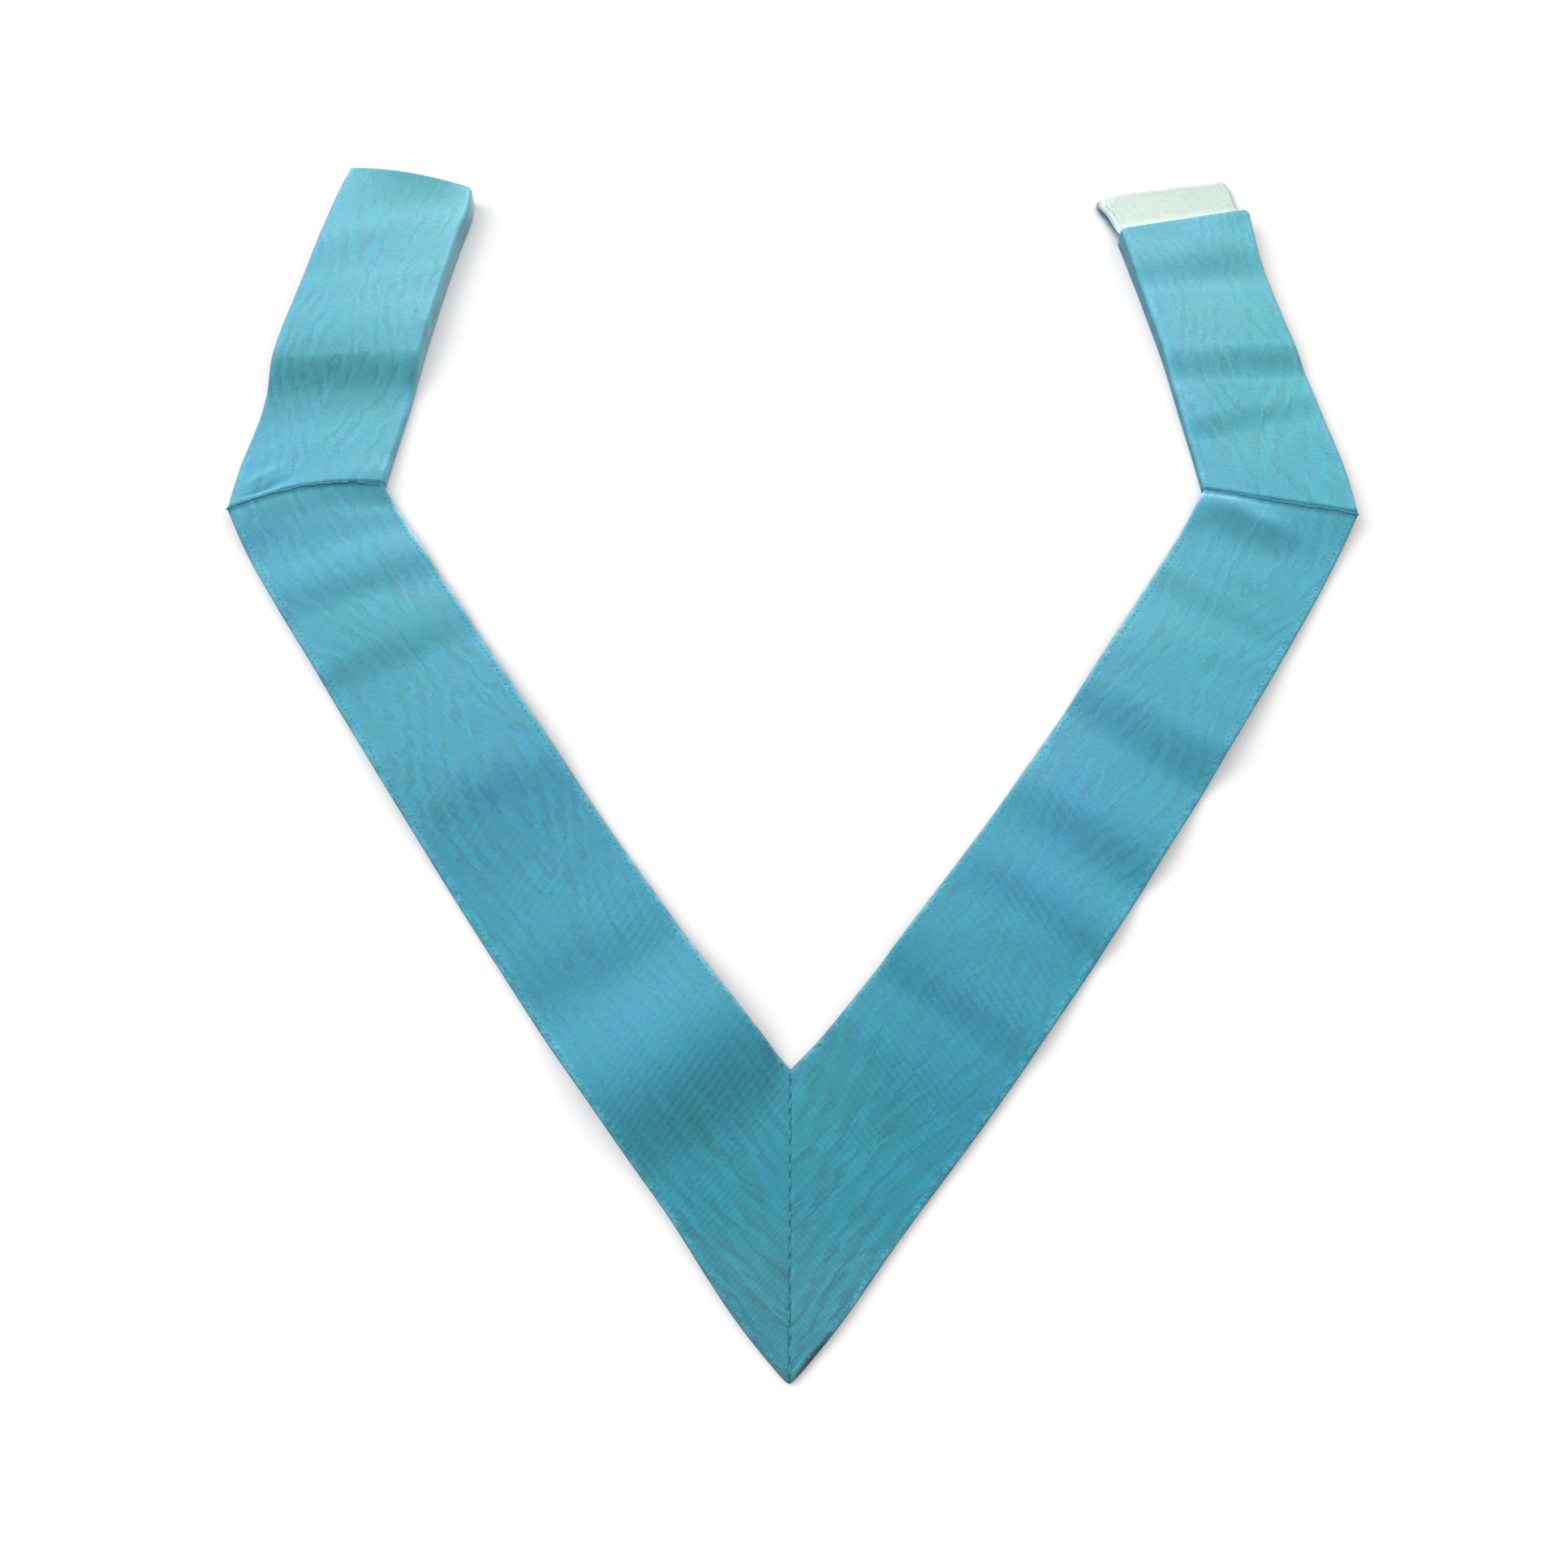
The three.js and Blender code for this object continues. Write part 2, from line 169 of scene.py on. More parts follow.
RIGHT_FRONT_BARS = table(
    PATCH,
    (-50, 30, 30, 40, 0.6), (8, 28, 20, 17, 0.7), (46, 30, 11, 15, 0.9),
    (82, 28, 11, 12, 0.8), (118, 22, 12, 10, 0.5), (66, 44, 50, 6, 0.3),
)
LEFT_FRONT_WATER = table(
    WATER,
    (-80, 25, 0, 2.2), (-20, 26, 4, 1.6), (30, 27, 1, 0.6),
    (66, 27, 0, 1.1), (118, 21, 13, 1.3), (183, 18, 3, 1.2),
    (232, 24, 13, 1.1), (270, 24, 8, 1.1),
)
RIGHT_FRONT_WATER = table(
    WATER,
    (-80, 26, 0, 2.2), (-10, 26, 3, 1.6), (36, 30, 11, 0.8),
    (84, 28, 0, 0.8), (140, 30, 13, 1), (182, 28, 3, 1),
    (238, 31, 15, 1), (270, 28, 9, 0.9),
)


def blobs(places, along, across):
    """Sum of soft patches, given by a table of their middles, reaches and amounts."""
    total = np.zeros(np.broadcast(along, across).shape)
    for at, middle, long, wide, *lean, amount in zip(*places.values()):
        from_middle = across - middle
        from_at = along - at - (lean[0] if lean else 0) * from_middle
        total = total + amount * np.exp(-((from_at / long) ** 2) - (from_middle / wide) ** 2)
    return total


def waves(seed, along, across, count, shortest, longest, most_turn):
    """A smooth uneven field, the sum of waves that run nearly along the ribbon."""
    random = np.random.default_rng(seed)
    total = 0
    for _ in range(count):
        turn, phase = random.uniform(-most_turn, most_turn), random.uniform(0, 2 * pi)
        length = random.uniform(shortest, longest)
        away = along * np.cos(turn) + across * np.sin(turn)
        total = total + np.sin(2 * pi * away / length + phase)
    return total / np.sqrt(count)


def read_rows(rows, column, at):
    """Smooth curve through one column of a table of sections."""
    x, y = rows["at"], rows[column]
    spans = np.diff(x)
    steps = np.diff(y) / spans
    inner = (steps[:-1] * spans[1:] + steps[1:] * spans[:-1]) / (spans[1:] + spans[:-1])
    slopes = np.concatenate([steps[:1], inner, steps[-1:]])
    i = np.clip(np.searchsorted(x, at, side="left") - 1, 0, len(x) - 2)
    q = np.clip((at - x[i]) / spans[i], 0, 1)
    start = (2 * q**3 - 3 * q**2 + 1) * y[i] + (q**3 - 2 * q**2 + q) * spans[i] * slopes[i]
    end = (3 * q**2 - 2 * q**3) * y[i + 1] + (q**3 - q**2) * spans[i] * slopes[i + 1]
    return start + end


def ease(value, low, high):
    """0 below low and 1 above high, with a smooth rise between them."""
    q = np.clip((value - low) / (high - low), 0, 1)
    return q * q * (3 - 2 * q)


def arch(share):
    """0 at both edges and 1 in the middle."""
    return 4 * share * (1 - share)


def square_to(start, end, towards):
    """Unit direction square to the line between two points, on the side of towards."""
    line = np.subtract(end, start) / np.linalg.norm(np.subtract(end, start))
    square = np.array([line[1], -line[0]])
    return square if square @ towards > 0 else -square


SETTLE = 3.0  # distance over which a dent fades at a seam
RIPPLE_RISE = 0.16
RIPPLE_WAVES = (8, 24, 62, 0.9)  # how many, their shortest and longest, and their most turn
RIPPLED = 0.6  # the more, the less of the cloth lies flat between ripples


class Cloth:
    """A length of cloth between an inner and an outer edge, each given by its two corners.
    Places on it are shares of its length and of its width, counted from the inner edge."""

    def __init__(self, inner, outer, rows, folds=None, dents=None, gaps=(0, 0), **shape):
        inner, outer = np.array(inner, float), np.array(outer, float)
        self.rows, self.folds, self.dents, self.shape = rows, folds, dents, shape
        self.corner = inner[0]
        self.run = (inner[1] - inner[0]) / np.linalg.norm(inner[1] - inner[0])
        self.out = square_to(*inner, outer[1] - inner[1])
        self.width = (outer[1] - inner[1]) @ self.out
        self.starts = [edge[0] + self.run * gaps[0] for edge in (inner, outer)]
        self.ends = [edge[1] - self.run * gaps[1] for edge in (inner, outer)]
        self.length = np.linalg.norm(self.ends[0] - self.starts[0])
        self.bulges = [
            square_to(inner[end], outer[end], self.run) * shape.get(bow, 0)
            for end, bow in enumerate(("start_bow", "end_bow"))
        ]

    def plan(self, at, share):
        """Place on the table, seen from above."""
        at, share = (np.asarray(x, float)[..., None] for x in np.broadcast_arrays(at, share))
        edges = []
        for start, end, bow in zip(self.starts, self.ends, ("inner_bow", "outer_bow")):
            edges.append(start + (end - start) * at + self.out * read_rows(self.rows, bow, at))
        place = edges[0] + (edges[1] - edges[0]) * share
        place += self.bulges[0] * (1 - at) ** SEAM_BOW_FADE * arch(share)
        return place + self.bulges[1] * at**SEAM_BOW_FADE * arch(share)

    def on_ribbon(self, at, share):
        """Distances along the ribbon and across it."""
        place = self.plan(at, share) - self.corner
        return place @ self.run, place @ self.out

    def underside(self, at, share):
        """Height of the cloth's lower face above the table."""
        along, across = self.on_ribbon(at, share)
        fade = ease(np.minimum(at, 1 - at), 0, FOLD_FADE)
        lifts = [read_rows(self.rows, column, at) for column in ("inner_lift", "outer_lift")]
        height = lifts[0] + (lifts[1] - lifts[0]) * share
        crown = np.clip((at - CROWN_FROM) / (1 - CROWN_FROM), 0, 1) ** 2 * arch(share)
        height = height + self.shape.get("end_crown", 0) * crown
        if "curl" in self.shape:
            drop, reach, from_at = self.shape["curl"]
            curl = np.clip(1 - share * self.width / reach, 0, 1) ** 2
            height = height - drop * curl * np.clip(at / from_at, 0, 1)
        if self.folds:
            for place, lean, rise, reach, fall, inner, outer in zip(*self.folds.values()):
                past = along - place - lean * across / self.width
                away = np.clip(np.where(past < 0, -past / reach, past / fall), 0, 1)
                rise = rise * (1 + (inner - 1) * (1 - share) ** 2 + (outer - 1) * share**2)
                height = height + fade * rise * np.cos(pi / 2 * away) ** 2
        if self.dents:
            settle = np.clip(np.minimum(at, 1 - at) * self.length / SETTLE, 0, 1)
            height = height + settle * blobs(self.dents, along, across)
        if "seed" in self.shape:
            ripple = waves(self.shape["seed"], along, across, *RIPPLE_WAVES)
            height = height + fade * RIPPLE_RISE * np.maximum(ripple + RIPPLED, 0) ** 1.5
        return np.maximum(height, 0)


def row_shares(length):
    """Shares of a cloth's length at which it is cut, closest together at both ends."""
    close = np.array(END_ROWS)
    count = round((length - 2 * close[-1]) / ROW_PITCH)
    middle = np.linspace(close[-1], length - close[-1], count + 1)[1:-1]
    return np.concatenate([close, middle, length - close[::-1]]) / length


CUT_ROUNDED = 0.998  # just short of a sharp edge


def half_thickness(from_end, thick, end, dip):
    """Half the cloth's thickness near an end that dips into a seam, or is cut and rounded."""
    if end == "seam":
        return thick / 2 - dip * np.clip(1 - from_end / SEAM_ROLL, 0, 1) ** 2
    over = np.clip(1 - from_end / (thick / 2), 0, CUT_ROUNDED)
    return thick / 2 * np.sqrt(1 - over**2)


LIP_ANGLES = (65, 30, 0, -30, -65)
LIP_HEIGHT = 0.92  # of half a ply


def lip_profile(thick):
    """The rounded edges of the ribbon and of its back, seen in section: reach and height."""
    half_ply = thick / 4
    points = []
    for middle, reach in ((half_ply, EDGE_ROUND), (-half_ply, EDGE_ROUND - BACK_INSET)):
        for angle in np.radians(LIP_ANGLES):
            height = middle + half_ply * LIP_HEIGHT * np.sin(angle)
            points.append((reach - EDGE_ROUND * (1 - np.cos(angle)), height))
        if middle > 0:
            points.append((-FELL_GROOVE, 0))
    return np.array(points)


RIB_PITCH = 0.66
BARS_PER_MM = 0.275  # faint slanted bars lie over the fine ribs
EXTRA_BARS = 0.2  # so many more per millimetre at a band's start, where they lie closest
EXTRA_FADE = 60.0
BARS_ACROSS = 0.18
BAR_WANDER = 0.22
BAR_WAVES = (5, 50, 130, 1.2)
BAR_RISE = 0.02
BARS_PRESSED = 0.1  # how much of the bars is left where the ribbon was pressed flat
BARS_WORN = 0.35  # and where it is worn
WORN_WAVES = (7, 14, 40, 1.3)
WORN_FROM_TO = (-1.2, 0.8)
STREAK_PITCH = 5.0
STREAK_ROUND = 1.5
STREAK_WANDER = 0.75
STREAK_WAVES = (6, 38, 75, 1.3)
STREAK_STRETCH = 0.3  # they wander so much more slowly along the ribbon than across it

HEM_BEND = 1.2
HEM_FOOT = 0.1
HEM_SHORTEST = 0.3
HEM_WALL_STEPS = 5
HEM_BEND_STEPS = 6
CENTRE_SHADE = 0.6  # how far the shade of the centre seam reaches
SHOULDER_SHADE = 2.0
FAR = 1000.0  # stands for the distance to a seam or a cut end that the cloth doesn't have


def width_at(cloth, at):
    return np.linalg.norm(cloth.plan(at, 0.0) - cloth.plan(at, 1.0), axis=-1)


def drawn(name, plan, height, edges=(), faces=()):
    """A mesh of points given by their places on the table, from the notch, and their heights."""
    points = np.concatenate([plan + NOTCH, height[..., None]], axis=-1) * MM
    mesh = bpy.data.meshes.new(name)
    mesh.from_pydata(points.reshape(-1, 3).tolist(), edges, faces)
    return mesh


def cloth_mesh(name, cloth, thick, ends=("seam", "seam"), hem=False, seed=0, bars=None, water=None,
               tints=None, seam_shades=(SHOULDER_SHADE, SHOULDER_SHADE)):
    """A cloth with real thickness as one closed mesh. Its UV map has metres along the ribbon
    and across it, and its attributes hold bars, watering, tint and the way to edges and seams."""
    at = row_shares(cloth.length)[:, None]
    rows = len(at)
    width = width_at(cloth, at)

    first = thick / 2 + HEM_BEND if hem else EDGE_ROUND
    steps = np.linspace(0, 1, ACROSS_STEPS + 1)
    t = first + (width - EDGE_ROUND - first) * steps
    z = cloth.underside(at, t / width) + thick / 2
    walled = np.zeros(ACROSS_STEPS + 1)
    if hem:
        bend_from = z[:, :1] - HEM_BEND
        foot = np.minimum(HEM_FOOT, bend_from - HEM_SHORTEST) + EDGE_ROUND
        wall = foot + (bend_from - foot) * np.arange(HEM_WALL_STEPS) / HEM_WALL_STEPS
        turn = pi / 2 * np.arange(HEM_BEND_STEPS) / HEM_BEND_STEPS
        bend = np.broadcast_to(first - HEM_BEND * np.cos(turn), (rows, HEM_BEND_STEPS))
        t = np.concatenate([np.full_like(wall, thick / 2), bend, t], axis=1)
        z = np.concatenate([wall, bend_from + HEM_BEND * np.sin(turn), z], axis=1)
        walled = np.concatenate([np.ones(HEM_WALL_STEPS), 1 - turn / (pi / 2), walled])
    line = np.stack([t, z], axis=-1)
    tangent = np.gradient(line, axis=1)
    tangent /= np.linalg.norm(tangent, axis=-1, keepdims=True)
    normal = np.stack([-tangent[..., 1], tangent[..., 0]], axis=-1)
    lengths = np.linalg.norm(np.diff(line, axis=1), axis=-1)
    from_inner = EDGE_ROUND + np.pad(np.cumsum(lengths, axis=1), ((0, 0), (1, 0)))

    from_start, from_finish = at * cloth.length, (1 - at) * cloth.length
    face, back = (
        np.minimum(half_thickness(from_start, thick, ends[0], dip),
                   half_thickness(from_finish, thick, ends[1], dip))
        for dip in (SEAM_DIP, 0)
    )

    along, across = cloth.on_ribbon(at, t / width)
    extra = EXTRA_BARS * EXTRA_FADE * np.exp(-along / EXTRA_FADE)
    wander = BAR_WANDER * waves(seed + 10, along, across, *BAR_WAVES)
    phase = BARS_PER_MM * along - extra + BARS_ACROSS * across + wander
    depth = np.zeros_like(along)
    if bars:
        kept = ease(waves(seed + 20, along, across, *WORN_WAVES), *WORN_FROM_TO)
        depth = BARS_PRESSED + blobs(bars, along, across) * (BARS_WORN + (1 - BARS_WORN) * kept)
    rise = BAR_RISE * np.sin(2 * pi * phase) * depth

    lip = lip_profile(thick)
    reach, height = lip[:, 0], lip[:, 1] / (thick / 2)
    stood = np.where(height > 0, face * height, back * height)[..., None]
    edges = []
    for k, way in ((-1, 1), (0, -1)):
        edge = line[:, [k]] + way * tangent[:, [k]] * (reach + rise[:, [k]])[..., None]
        edges.append((edge + normal[:, [k]] * stood)[:, ::way])
    upper = line + normal * (face + rise)[..., None]
    lower = (line - normal * back[..., None])[:, ::-1]
    ring = np.concatenate([upper, edges[0], lower, edges[1]], axis=1)
    size = ring.shape[1]

    count, lips = line.shape[1], len(lip)

    def round_ring(values):
        """What the face holds, carried round both edges and over the back."""
        values = np.broadcast_to(values, (rows, count))
        inner_edge, outer_edge = (np.repeat(values[:, [k]], lips, axis=1) for k in (0, -1))
        return np.concatenate([values, outer_edge, values[:, ::-1], inner_edge], axis=1)

    plan = cloth.plan(at, ring[..., 0] / width)
    from_point = plan[..., 1] - POINT[1]
    plan[..., 1] += BLUNT * np.exp(-np.maximum(from_point, -BLUNT) / BLUNT)

    index = np.arange(rows * size).reshape(rows, size)
    beside = np.roll(index, -1, axis=1)
    quads = np.stack([index[:-1], beside[:-1], beside[1:], index[1:]], axis=-1).reshape(-1, 4)
    faces = quads.tolist()
    for row, turned in ((0, 1), (rows - 1, -1)):
        parts = np.split(index[row], np.cumsum([count, lips, count]))
        top, outer_lip, low, inner_lip = (part.tolist() for part in parts)
        low.reverse()
        caps = [[top[k], low[k], low[k + 1], top[k + 1]] for k in range(count - 1)]
        caps += [[top[-1], low[-1], *outer_lip[::-1]], [low[0], top[0], *inner_lip[::-1]]]
        faces += [corners[::turned] for corners in caps]

    mesh = drawn(name, plan, ring[..., 1], faces=faces)
    corner, beyond = plan[:2, count // 2], plan[0, count // 2 + 1]
    if np.linalg.det([beyond - corner[0], corner[1] - corner[0]]) < 0:
        mesh.flip_normals()

    from_outer = from_inner[:, -1:] - from_inner + EDGE_ROUND
    from_seam, from_cut = np.full_like(at, FAR), np.full_like(at, FAR)
    for end, distance, shaded in zip(ends, (from_start, from_finish), seam_shades):
        if end == "seam":
            from_seam = np.minimum(from_seam, distance / shaded)
        else:
            from_cut = np.minimum(from_cut, distance)
    on_lip = np.repeat([0, 1, 0, 1], [count, lips, count, lips])
    values = {
        "bar": round_ring(phase),
        "bar_depth": round_ring(depth),
        "from_edge": round_ring(np.minimum(from_inner, from_outer)),
        "from_seam": round_ring(from_seam),
        "from_cut": round_ring(from_cut),
        "hem": round_ring(walled),
        "lip": np.broadcast_to(on_lip, (rows, size)),
    }
    if water:
        centre, swell, strength = (read_rows(water, column, along) for column in WATER.split()[1:])
        ridge = np.sqrt((across - centre) ** 2 + STREAK_ROUND**2)
        stray = STREAK_WANDER * waves(seed + 30, along * STREAK_STRETCH, across, *STREAK_WAVES)
        values["water"] = round_ring((ridge - swell) / STREAK_PITCH + stray)
        values["water_strength"] = round_ring(strength)
    if tints:
        values["blue"] = round_ring(blobs(tints, along, across))
    for label, value in values.items():
        attribute = mesh.attributes.new(label, "FLOAT", "POINT")
        attribute.data.foreach_set("value", np.float32(value).ravel())
    uv = np.stack([round_ring(along), round_ring(from_inner)], axis=-1).reshape(-1, 2) * MM
    corners = np.empty(len(mesh.loops), np.int32)
    mesh.loops.foreach_get("vertex_index", corners)
    layer = mesh.uv_layers.new(name="ribbon")
    layer.data.foreach_set("uv", uv[corners].astype(np.float32).ravel())
    mesh.shade_smooth()
    mesh.update()
    return mesh


def colour(red, green, blue):
    """A colour given as it looks on a screen, 0 to 255, in Blender's linear numbers."""
    shares = np.array([red, green, blue]) / 255
    linear = np.where(shares <= 0.04045, shares / 12.92, ((shares + 0.055) / 1.055) ** 2.4)
    return (*linear.tolist(), 1.0)


class Graph:
    """Short ways to add nodes to one tree."""

    def add(self, kind, inputs=(), **settings):
        """A node with its settings, and with its inputs set or joined."""
        node = self.tree.nodes.new(kind)
        for key, value in settings.items():
            setattr(node, key, value)
        for key, value in dict(inputs).items():
            if isinstance(value, bpy.types.NodeSocket):
                self.tree.links.new(value, node.inputs[key])
            else:
                node.inputs[key].default_value = value
        return node

    def maths(self, operation, *values):
        return self.add("ShaderNodeMath", enumerate(values), operation=operation).outputs[0]

    def times(self, value, factor):
        return self.maths("MULTIPLY", value, factor)

    def scaled(self, value, factor, plus):
        return self.maths("MULTIPLY_ADD", value, factor, plus)

    def vector(self, x, y, z=0.0):
        return self.add("ShaderNodeCombineXYZ", {"X": x, "Y": y, "Z": z}).outputs[0]


class Finish(Graph):
    """Short ways to make one shader material."""

    def __init__(self, name):
        self.material = bpy.data.materials.new(name)
        self.material.use_nodes = True
        self.tree = self.material.node_tree
        self.tree.nodes.clear()

    def cycle(self, turns):
        return self.maths("SINE", self.times(turns, 2 * pi))

    def ease(self, value, low, high, to_low=0.0, to_high=1.0):
        """value from low to high becomes to_low to to_high, smoothly."""
        inputs = enumerate((value, low, high, to_low, to_high))
        return self.add("ShaderNodeMapRange", inputs, interpolation_type="SMOOTHSTEP").outputs["Result"]

    def blend(self, share, first, second, how="MIX"):
        inputs = {0: share, 6: first, 7: second}
        return self.add("ShaderNodeMix", inputs, data_type="RGBA", blend_type=how).outputs[2]

    def toned(self, base, tone):
        """A colour made lighter or darker by a tone."""
        grey = self.add("ShaderNodeCombineColor", {0: tone, 1: tone, 2: tone}).outputs[0]
        return self.blend(1.0, base, grey, "MULTIPLY")

    def held(self, label):
        """A number that the mesh holds at each of its points."""
        return self.add("ShaderNodeAttribute", attribute_name=label).outputs["Fac"]

    def place(self):
        return self.add("ShaderNodeTexCoord").outputs["Object"]

    def on_ribbon(self, start=0.0):
        """Millimetres along the ribbon, counted from start, and across it."""
        uv = self.add("ShaderNodeUVMap", uv_map="ribbon").outputs[0]
        along, across = self.add("ShaderNodeSeparateXYZ", {0: uv}).outputs[:2]
        return self.scaled(along, 1 / MM, start), self.times(across, 1 / MM)

    def noise(self, place, scale, detail, dimensions="3D"):
        inputs = {"Vector": place, "Scale": scale, "Detail": detail}
        return self.add("ShaderNodeTexNoise", inputs, noise_dimensions=dimensions).outputs["Fac"]

    def done(self, inputs, relief=None, strength=0.4, depth=0.1):
        """The material, with a relief so many millimetres deep."""
        shader = self.add("ShaderNodeBsdfPrincipled", inputs)
        if relief is not None:
            bump = {"Strength": strength, "Distance": depth * MM, "Height": relief}
            bumped = self.add("ShaderNodeBump", bump).outputs[0]
            self.tree.links.new(bumped, shader.inputs["Normal"])
        self.add("ShaderNodeOutputMaterial", {"Surface": shader.outputs[0]})
        return self.material


# The ribbon at the point and at the neck ends. The step between them is painted light.
RIBBON_DEEP = colour(20, 118, 139)
RIBBON_PALE = colour(56, 139, 157)
BLUE_CAST = (0.98, 0.96, 1.08, 1.0)
TEAL_CAST = (0.88, 1.0, 0.9, 1.0)
SEAM_PAINTED_SHADE = colour(36, 100, 118)
EDGE_BROWN_AND_SHADE = colour(88, 84, 88)
POINT_DUST = colour(90, 116, 136)
POINT_SHADE = colour(34, 66, 62)
SPECKS = (colour(84, 138, 186), colour(62, 150, 148))
SPECKS_PER_MM = (0.55, 0.75)
WARP_PITCH = 2.3
OWN_STRETCH = 137.0  # sets each ribbon's noise apart from the others'

# Noise: the length and width of its patches, its detail and a shift of its own.
RAGGED = (8.0, 2.8, 2.0, 31.0)
PATCHY = (17.0, 6.0, 2.0, 71.0)
WARP = (16.0, 6.0, 1.0, 5.0)
MOTTLE = (17.0, 10.0, 2.0, 13.0)
GRAIN = (1.3, 1.1, 2.0, 3.0)

# How far the noise, streaks, bars and ribs shift or show.
RAGGED_SHIFT = 0.7
WARP_WANDER = 2.0
WARP_SHOWS = (0.45, 0.65)
STREAK_TONE = 0.075
BAR_TONE = 0.15
RIB_TONE = 0.012
GRAIN_TONE = 0.13
STREAK_RELIEF = -0.35
RIB_RELIEF = 0.15
GRAIN_RELIEF = 1.2
STREAK_GLOSS = -0.05

# Ranges: from and to, with the shares at both where they aren't 0 and 1. The first four are
# metres away from the viewer, the next metres to the right, and the two after it millimetres
# from the ribbon's edge.
PAINTED_FAR_LIGHT = (-0.24, 0.20)
DUSTY = (-0.175, -0.205, 0.0, 0.16)
BROWNED_AND_SHADED = (-0.08, -0.21, 0.5, 0.95)
POINT_SHADED = (-0.208, -0.2165)
POINT_SHADED_SIDE = (-0.001, 0.002, 0.4, 1.0)
POINT_SHADED_EDGE = (0.6, 3.4, 1.0, 0.0)
SELVEDGE = (1.4, 3.8, 1.0, 0.0)
SPECKED = (0.4, 1.0, 0.0, 0.6)
TURNED_DOWN = (0.55, 0.95)
SEAM_SHADED = (0.4, 1.0, 0.9, 0.0)
SEAM_DULL = (0.5, 1.6, 0.95, 0.5)
STREAK_STRENGTH = (0.36, 0.64, 0.2, 1.5)
FULL_CAST = 1.1


def watered_ribbon(name, seed, hem_painted_shade=RIBBON_DEEP):
    """Ribbed ribbon with a watermark: streaks where its ribs were crushed."""
    n = Finish(name)
    u, v = n.on_ribbon(seed * OWN_STRETCH)

    def field(long, wide, detail, shift):
        place = n.vector(n.times(u, 1 / long), n.scaled(v, 1 / wide, shift))
        return n.noise(place, 1.0, detail, "2D")

    ragged = n.scaled(field(*RAGGED), 2 * RAGGED_SHIFT, -RAGGED_SHIFT)
    wave = n.cycle(n.maths("ADD", n.held("water"), ragged))
    strength = n.ease(field(*PATCHY), *STREAK_STRENGTH)
    streak = n.times(wave, n.times(strength, n.held("water_strength")))

    warp = n.scaled(field(*WARP), WARP_WANDER, n.times(v, 1 / WARP_PITCH))
    depth = n.times(n.held("bar_depth"), n.scaled(n.cycle(warp), *WARP_SHOWS))
    bar = n.times(n.cycle(n.held("bar")), depth)
    rib = n.maths("SINE", n.times(u, 2 * pi / RIB_PITCH))

    x, y = n.add("ShaderNodeSeparateXYZ", {0: n.place()}).outputs[:2]
    # Painted light: the ribbon turns paler towards the neck ends, for the sheen on the far cloth.
    base = n.blend(n.ease(y, *PAINTED_FAR_LIGHT), RIBBON_DEEP, RIBBON_PALE)
    blue = n.maths("ADD", n.held("blue"), n.scaled(field(*MOTTLE), 2.0, -1.0))
    base = n.blend(n.ease(blue, 0.0, FULL_CAST), base, BLUE_CAST, "MULTIPLY")
    base = n.blend(n.ease(blue, 0.0, -FULL_CAST), base, TEAL_CAST, "MULTIPLY")
    base = n.blend(n.ease(y, *DUSTY), base, POINT_DUST)

    tone = n.scaled(streak, STREAK_TONE, 1.0)
    # The bars and ribs darken their hollows: partly the weave's own pattern, partly painted shade.
    tone = n.scaled(bar, BAR_TONE, tone)
    tone = n.scaled(rib, RIB_TONE, tone)
    grain = field(*GRAIN)
    tone = n.scaled(grain, 2 * GRAIN_TONE, n.maths("ADD", tone, -GRAIN_TONE))

    from_edge = n.held("from_edge")
    woven = n.ease(from_edge, *SELVEDGE)
    place = n.vector(*(n.times(way, count) for way, count in zip((u, v), SPECKS_PER_MM)))
    cells = n.add("ShaderNodeTexVoronoi", {"Vector": place, "Scale": 1.0}, voronoi_dimensions="2D")
    chances = n.add("ShaderNodeSeparateColor", {0: cells.outputs["Color"]}).outputs
    for chance, speck in zip(chances, SPECKS):
        base = n.blend(n.times(woven, n.ease(chance, *SPECKED)), base, speck)

    # Painted shade: the turned-down hem wall takes a dark slate colour.
    base = n.blend(n.ease(n.held("hem"), *TURNED_DOWN), base, hem_painted_shade)
    # The rounded edges darken, browner towards the point: partly their own colour, partly painted shade.
    base = n.blend(n.times(n.held("lip"), n.ease(y, *BROWNED_AND_SHADED)), base, EDGE_BROWN_AND_SHADE)
    # Painted shade: near the point the face darkens within a few millimetres of its edges, more on the
    # right.
    point_shade = n.times(n.ease(y, *POINT_SHADED), n.ease(from_edge, *POINT_SHADED_EDGE))
    base = n.blend(n.times(point_shade, n.ease(x, *POINT_SHADED_SIDE)), base, POINT_SHADE)
    # Painted shade: the cloth darkens into its seams.
    base = n.blend(n.ease(n.held("from_seam"), *SEAM_SHADED), base, SEAM_PAINTED_SHADE)

    relief = n.scaled(streak, STREAK_RELIEF, n.times(rib, RIB_RELIEF))
    relief = n.scaled(grain, GRAIN_RELIEF, relief)
    near_end = n.maths("MINIMUM", n.held("from_seam"), n.held("from_cut"))
    rough = n.scaled(streak, STREAK_GLOSS, n.ease(near_end, *SEAM_DULL))
    return n.done({"Base Color": n.toned(base, tone), "Roughness": rough, "Specular IOR Level": 0.4,
                   "Sheen Weight": 0.12, "Sheen Roughness": 0.4}, relief, depth=0.08)


def piece_of(mesh, material, slot, *nodes):
    """An object of the collarette that rides on its one body."""
    piece = placed(mesh.name, mesh)
    mesh.materials.clear()
    mesh.materials.append(material)
    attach(piece, "root")
    if nodes:
        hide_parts(*nodes)
    return piece


AREA_STEPS = 60


def plan_area(cloth):
    """Area of a cloth laid flat, in square metres."""
    at = np.linspace(0, 1, AREA_STEPS)
    edge = np.concatenate([cloth.plan(at, 0.0), cloth.plan(at, 1.0)[::-1]])
    x, y = edge.T
    return abs(np.dot(x, np.roll(y, -1)) - np.dot(y, np.roll(x, -1))) / 2 * MM * MM


